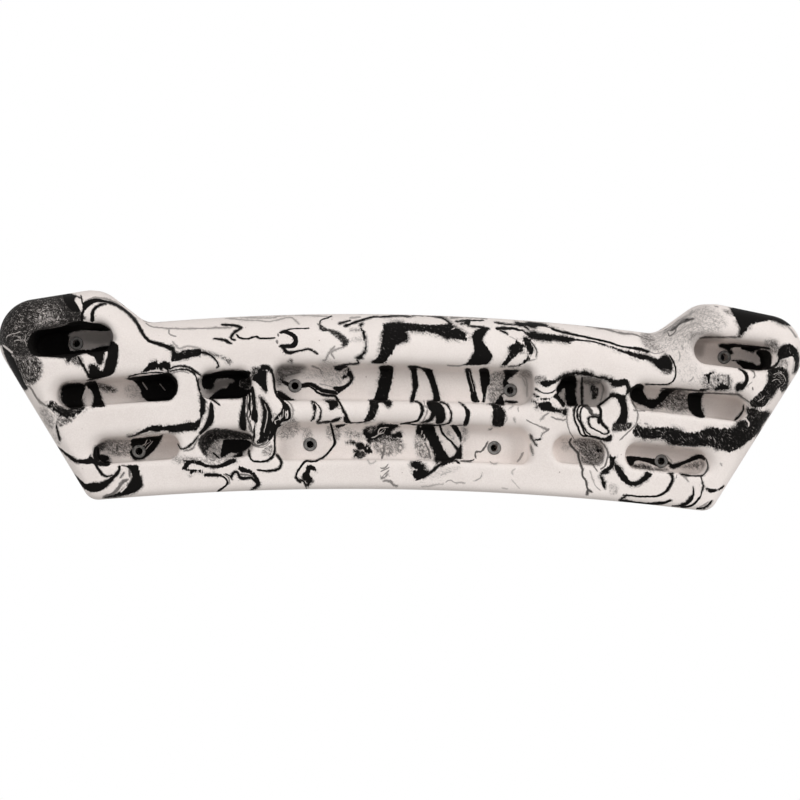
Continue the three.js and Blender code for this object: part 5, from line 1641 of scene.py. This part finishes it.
# painted shade: the brown-grey tint darkens the white resin in the ends and tops of holds
white = blend(tree, stored("painted_shade", "Fac"), white, PAINTED_SHADE_BROWN)
black = blend(tree, grain["Tint"], DEEP_BLACK, DUSTY_BLACK)
tree.links.new(blend(tree, ink, white, black), surface.inputs["Base Color"])
rough = sum_of(tree, "MULTIPLY_ADD", ink, BLACK_SMOOTHER, soft_step(tree, grain["Tint"], *ROUGHNESS))
tree.links.new(rough, surface.inputs["Roughness"])
bump = add(tree, "Bump", *GRAIN_BUMP)
tree.links.new(grain["Height"], bump.inputs["Height"])
tree.links.new(bump.outputs[0], surface.inputs["Normal"])
surface.inputs["Specular IOR Level"].default_value = 0.06
board.data.materials.append(resin)
print("nodes in the marbled resin:", len(tree.nodes))

# %% [markdown]
# ## The washers' steel
# Zinc-plated steel is a dull grey metal. The rings' faces carry fine scratches and a few blotches
# where the plating is thinner, so colour and roughness vary. Noise stretched far more across than
# along makes the scratches, and evenly stretched noise the blotches.

# %% Material: dull plated steel
DARK_PLATING, LIGHT_PLATING = (0.1, 0.096, 0.092, 1), (0.23, 0.22, 0.21, 1)
PLATING_ROUGHNESS, SCRATCH_BUMP = (0.3, 0.7, 0.45, 0.7), (0.3, 0.00004)

steel = bpy.data.materials.new("plated steel")
steel.use_nodes = True
tree = steel.node_tree
surface = tree.nodes["Principled BSDF"]
place = add(tree, "TexCoord").outputs["Object"]
blotch = noise(tree, place, (420, 420, 420), 3.0, 0.6)
scratch = noise(tree, place, (3000, 900, 700), 2.0, 0.6)
colour = blend(tree, soft_step(tree, blotch, 0.35, 0.65), DARK_PLATING, LIGHT_PLATING)
tree.links.new(colour, surface.inputs["Base Color"])
worn = sum_of(tree, "MULTIPLY", sum_of(tree, "ADD", blotch, scratch), 0.5)
tree.links.new(soft_step(tree, worn, *PLATING_ROUGHNESS), surface.inputs["Roughness"])
bump = add(tree, "Bump", *SCRATCH_BUMP)
tree.links.new(scratch, bump.inputs["Height"])
tree.links.new(bump.outputs[0], surface.inputs["Normal"])
surface.inputs["Metallic"].default_value = 1.0
for washer in washers:
    washer.data.materials.append(steel)
print("nodes in the plated steel:", len(tree.nodes))

# %% [markdown]
# ## Floor, background and lights
# The photograph shows the board alone on white. The world is white to camera, glossy and
# transmission rays, and lights the board softly. A pale floor lies well below the board
# and is white further out, so that it meets the background without a line. On a wall the deep
# screw holes are in shade, and here the white background would shine through them, so a plain dark
# disc as wide as the hole stands behind each as painted shade. The discs are stage, and no part of the
# board.

# %% Floor and background
FLOOR_LEVEL, FLOOR_HALF = -0.5, 4.0
DISC_RADIUS, DISC_BEHIND, DISC_SIDES = BORE_RADIUS + 0.05, 0.3, 32
FLOOR_GREY, HOLE_SHADE_GREY, WORLD_STRENGTH = (0.6, 0.6, 0.595, 1), (0.015, 0.014, 0.013, 1), 0.46
GLOW_START, GLOW_END = (0.7, 0.78), (1.15, 1.0)


def sheet(name, corners, material):
    flat = bpy.data.meshes.new(name)
    flat.from_pydata(corners, [], [tuple(range(len(corners)))])
    flat.materials.append(material)
    made = new_object(name, flat)
    return made


def seen_directly(tree):
    """1 for camera, glossy and transmission rays."""
    path = add(tree, "LightPath").outputs
    return sum_of(tree, "MAXIMUM", path["Is Camera Ray"],
                  sum_of(tree, "MAXIMUM", path["Is Glossy Ray"], path["Is Transmission Ray"]))


floor_paint = bpy.data.materials.new("pale floor")
floor_paint.use_nodes = True
tree = floor_paint.node_tree
surface = tree.nodes["Principled BSDF"]
surface.inputs["Base Color"].default_value = FLOOR_GREY
surface.inputs["Roughness"].default_value = 0.7
glow = add(tree, "Emission").outputs[0]
reach = add(tree, "VectorMath", add(tree, "TexCoord").outputs["Object"], operation="LENGTH").outputs["Value"]
white_share = soft_step(tree, reach, GLOW_START[0], GLOW_END[0], GLOW_START[1], GLOW_END[1])
share = sum_of(tree, "MULTIPLY", white_share, seen_directly(tree))
tree.links.new(add(tree, "MixShader", share, surface.outputs[0], glow).outputs[0],
               tree.nodes["Material Output"].inputs[0])
sheet("pale_floor", [(x * FLOOR_HALF, y * FLOOR_HALF, FLOOR_LEVEL)
                     for x, y in ((-1, -1), (1, -1), (1, 1), (-1, 1))], floor_paint)

# painted shade: near-black discs stand behind the screw holes in place of the shade inside them
painted_hole_shade = bpy.data.materials.new("painted shade behind a hole")
painted_hole_shade.use_nodes = True
surface = painted_hole_shade.node_tree.nodes["Principled BSDF"]
surface.inputs["Base Color"].default_value = HOLE_SHADE_GREY
surface.inputs["Roughness"].default_value = 0.9
turns = np.arange(DISC_SIDES) * 2 * np.pi / DISC_SIDES
for name, (x, _, z) in seats.items():
    rim = np.column_stack([x + DISC_RADIUS * np.cos(turns), 0 * turns + DISC_BEHIND,
                           z + DISC_RADIUS * np.sin(turns)]) * MM
    sheet("painted_shade_behind_" + name, rim.tolist(), painted_hole_shade)

world = bpy.data.worlds.new("studio")
bpy.context.scene.world = world
world.use_nodes = True
tree = world.node_tree
soft_light = tree.nodes["Background"]
soft_light.inputs[0].default_value = (1, 1, 1, 1)
soft_light.inputs[1].default_value = WORLD_STRENGTH
white_back = add(tree, "Background", (1, 1, 1, 1), 1.0).outputs[0]
tree.links.new(add(tree, "MixShader", seen_directly(tree), soft_light.outputs[0], white_back).outputs[0],
               tree.nodes["World Output"].inputs[0])
print("floor at", FLOOR_LEVEL, "m")

# %% Lights
# Each lamp is (place in metres, width in metres, power in watts).
LAMPS = {"right": ((2.0, -1.8, 0.9), 1.0, 31), "left": ((-1.7, -1.9, 1.2), 1.2, 19),
         "above": ((0, -1.0, 2.5), 1.5, 5)}
for name, (place, size, power) in LAMPS.items():
    lamp = bpy.data.lights.new(name, "AREA")
    lamp.size, lamp.energy = size, power
    holder = new_object(name, lamp)
    holder.location = place
    holder.rotation_euler = (-Vector(place)).to_track_quat("-Z", "Y").to_euler()
bpy.context.scene.view_settings.view_transform = "Standard"
print("lamps:", sorted(LAMPS))
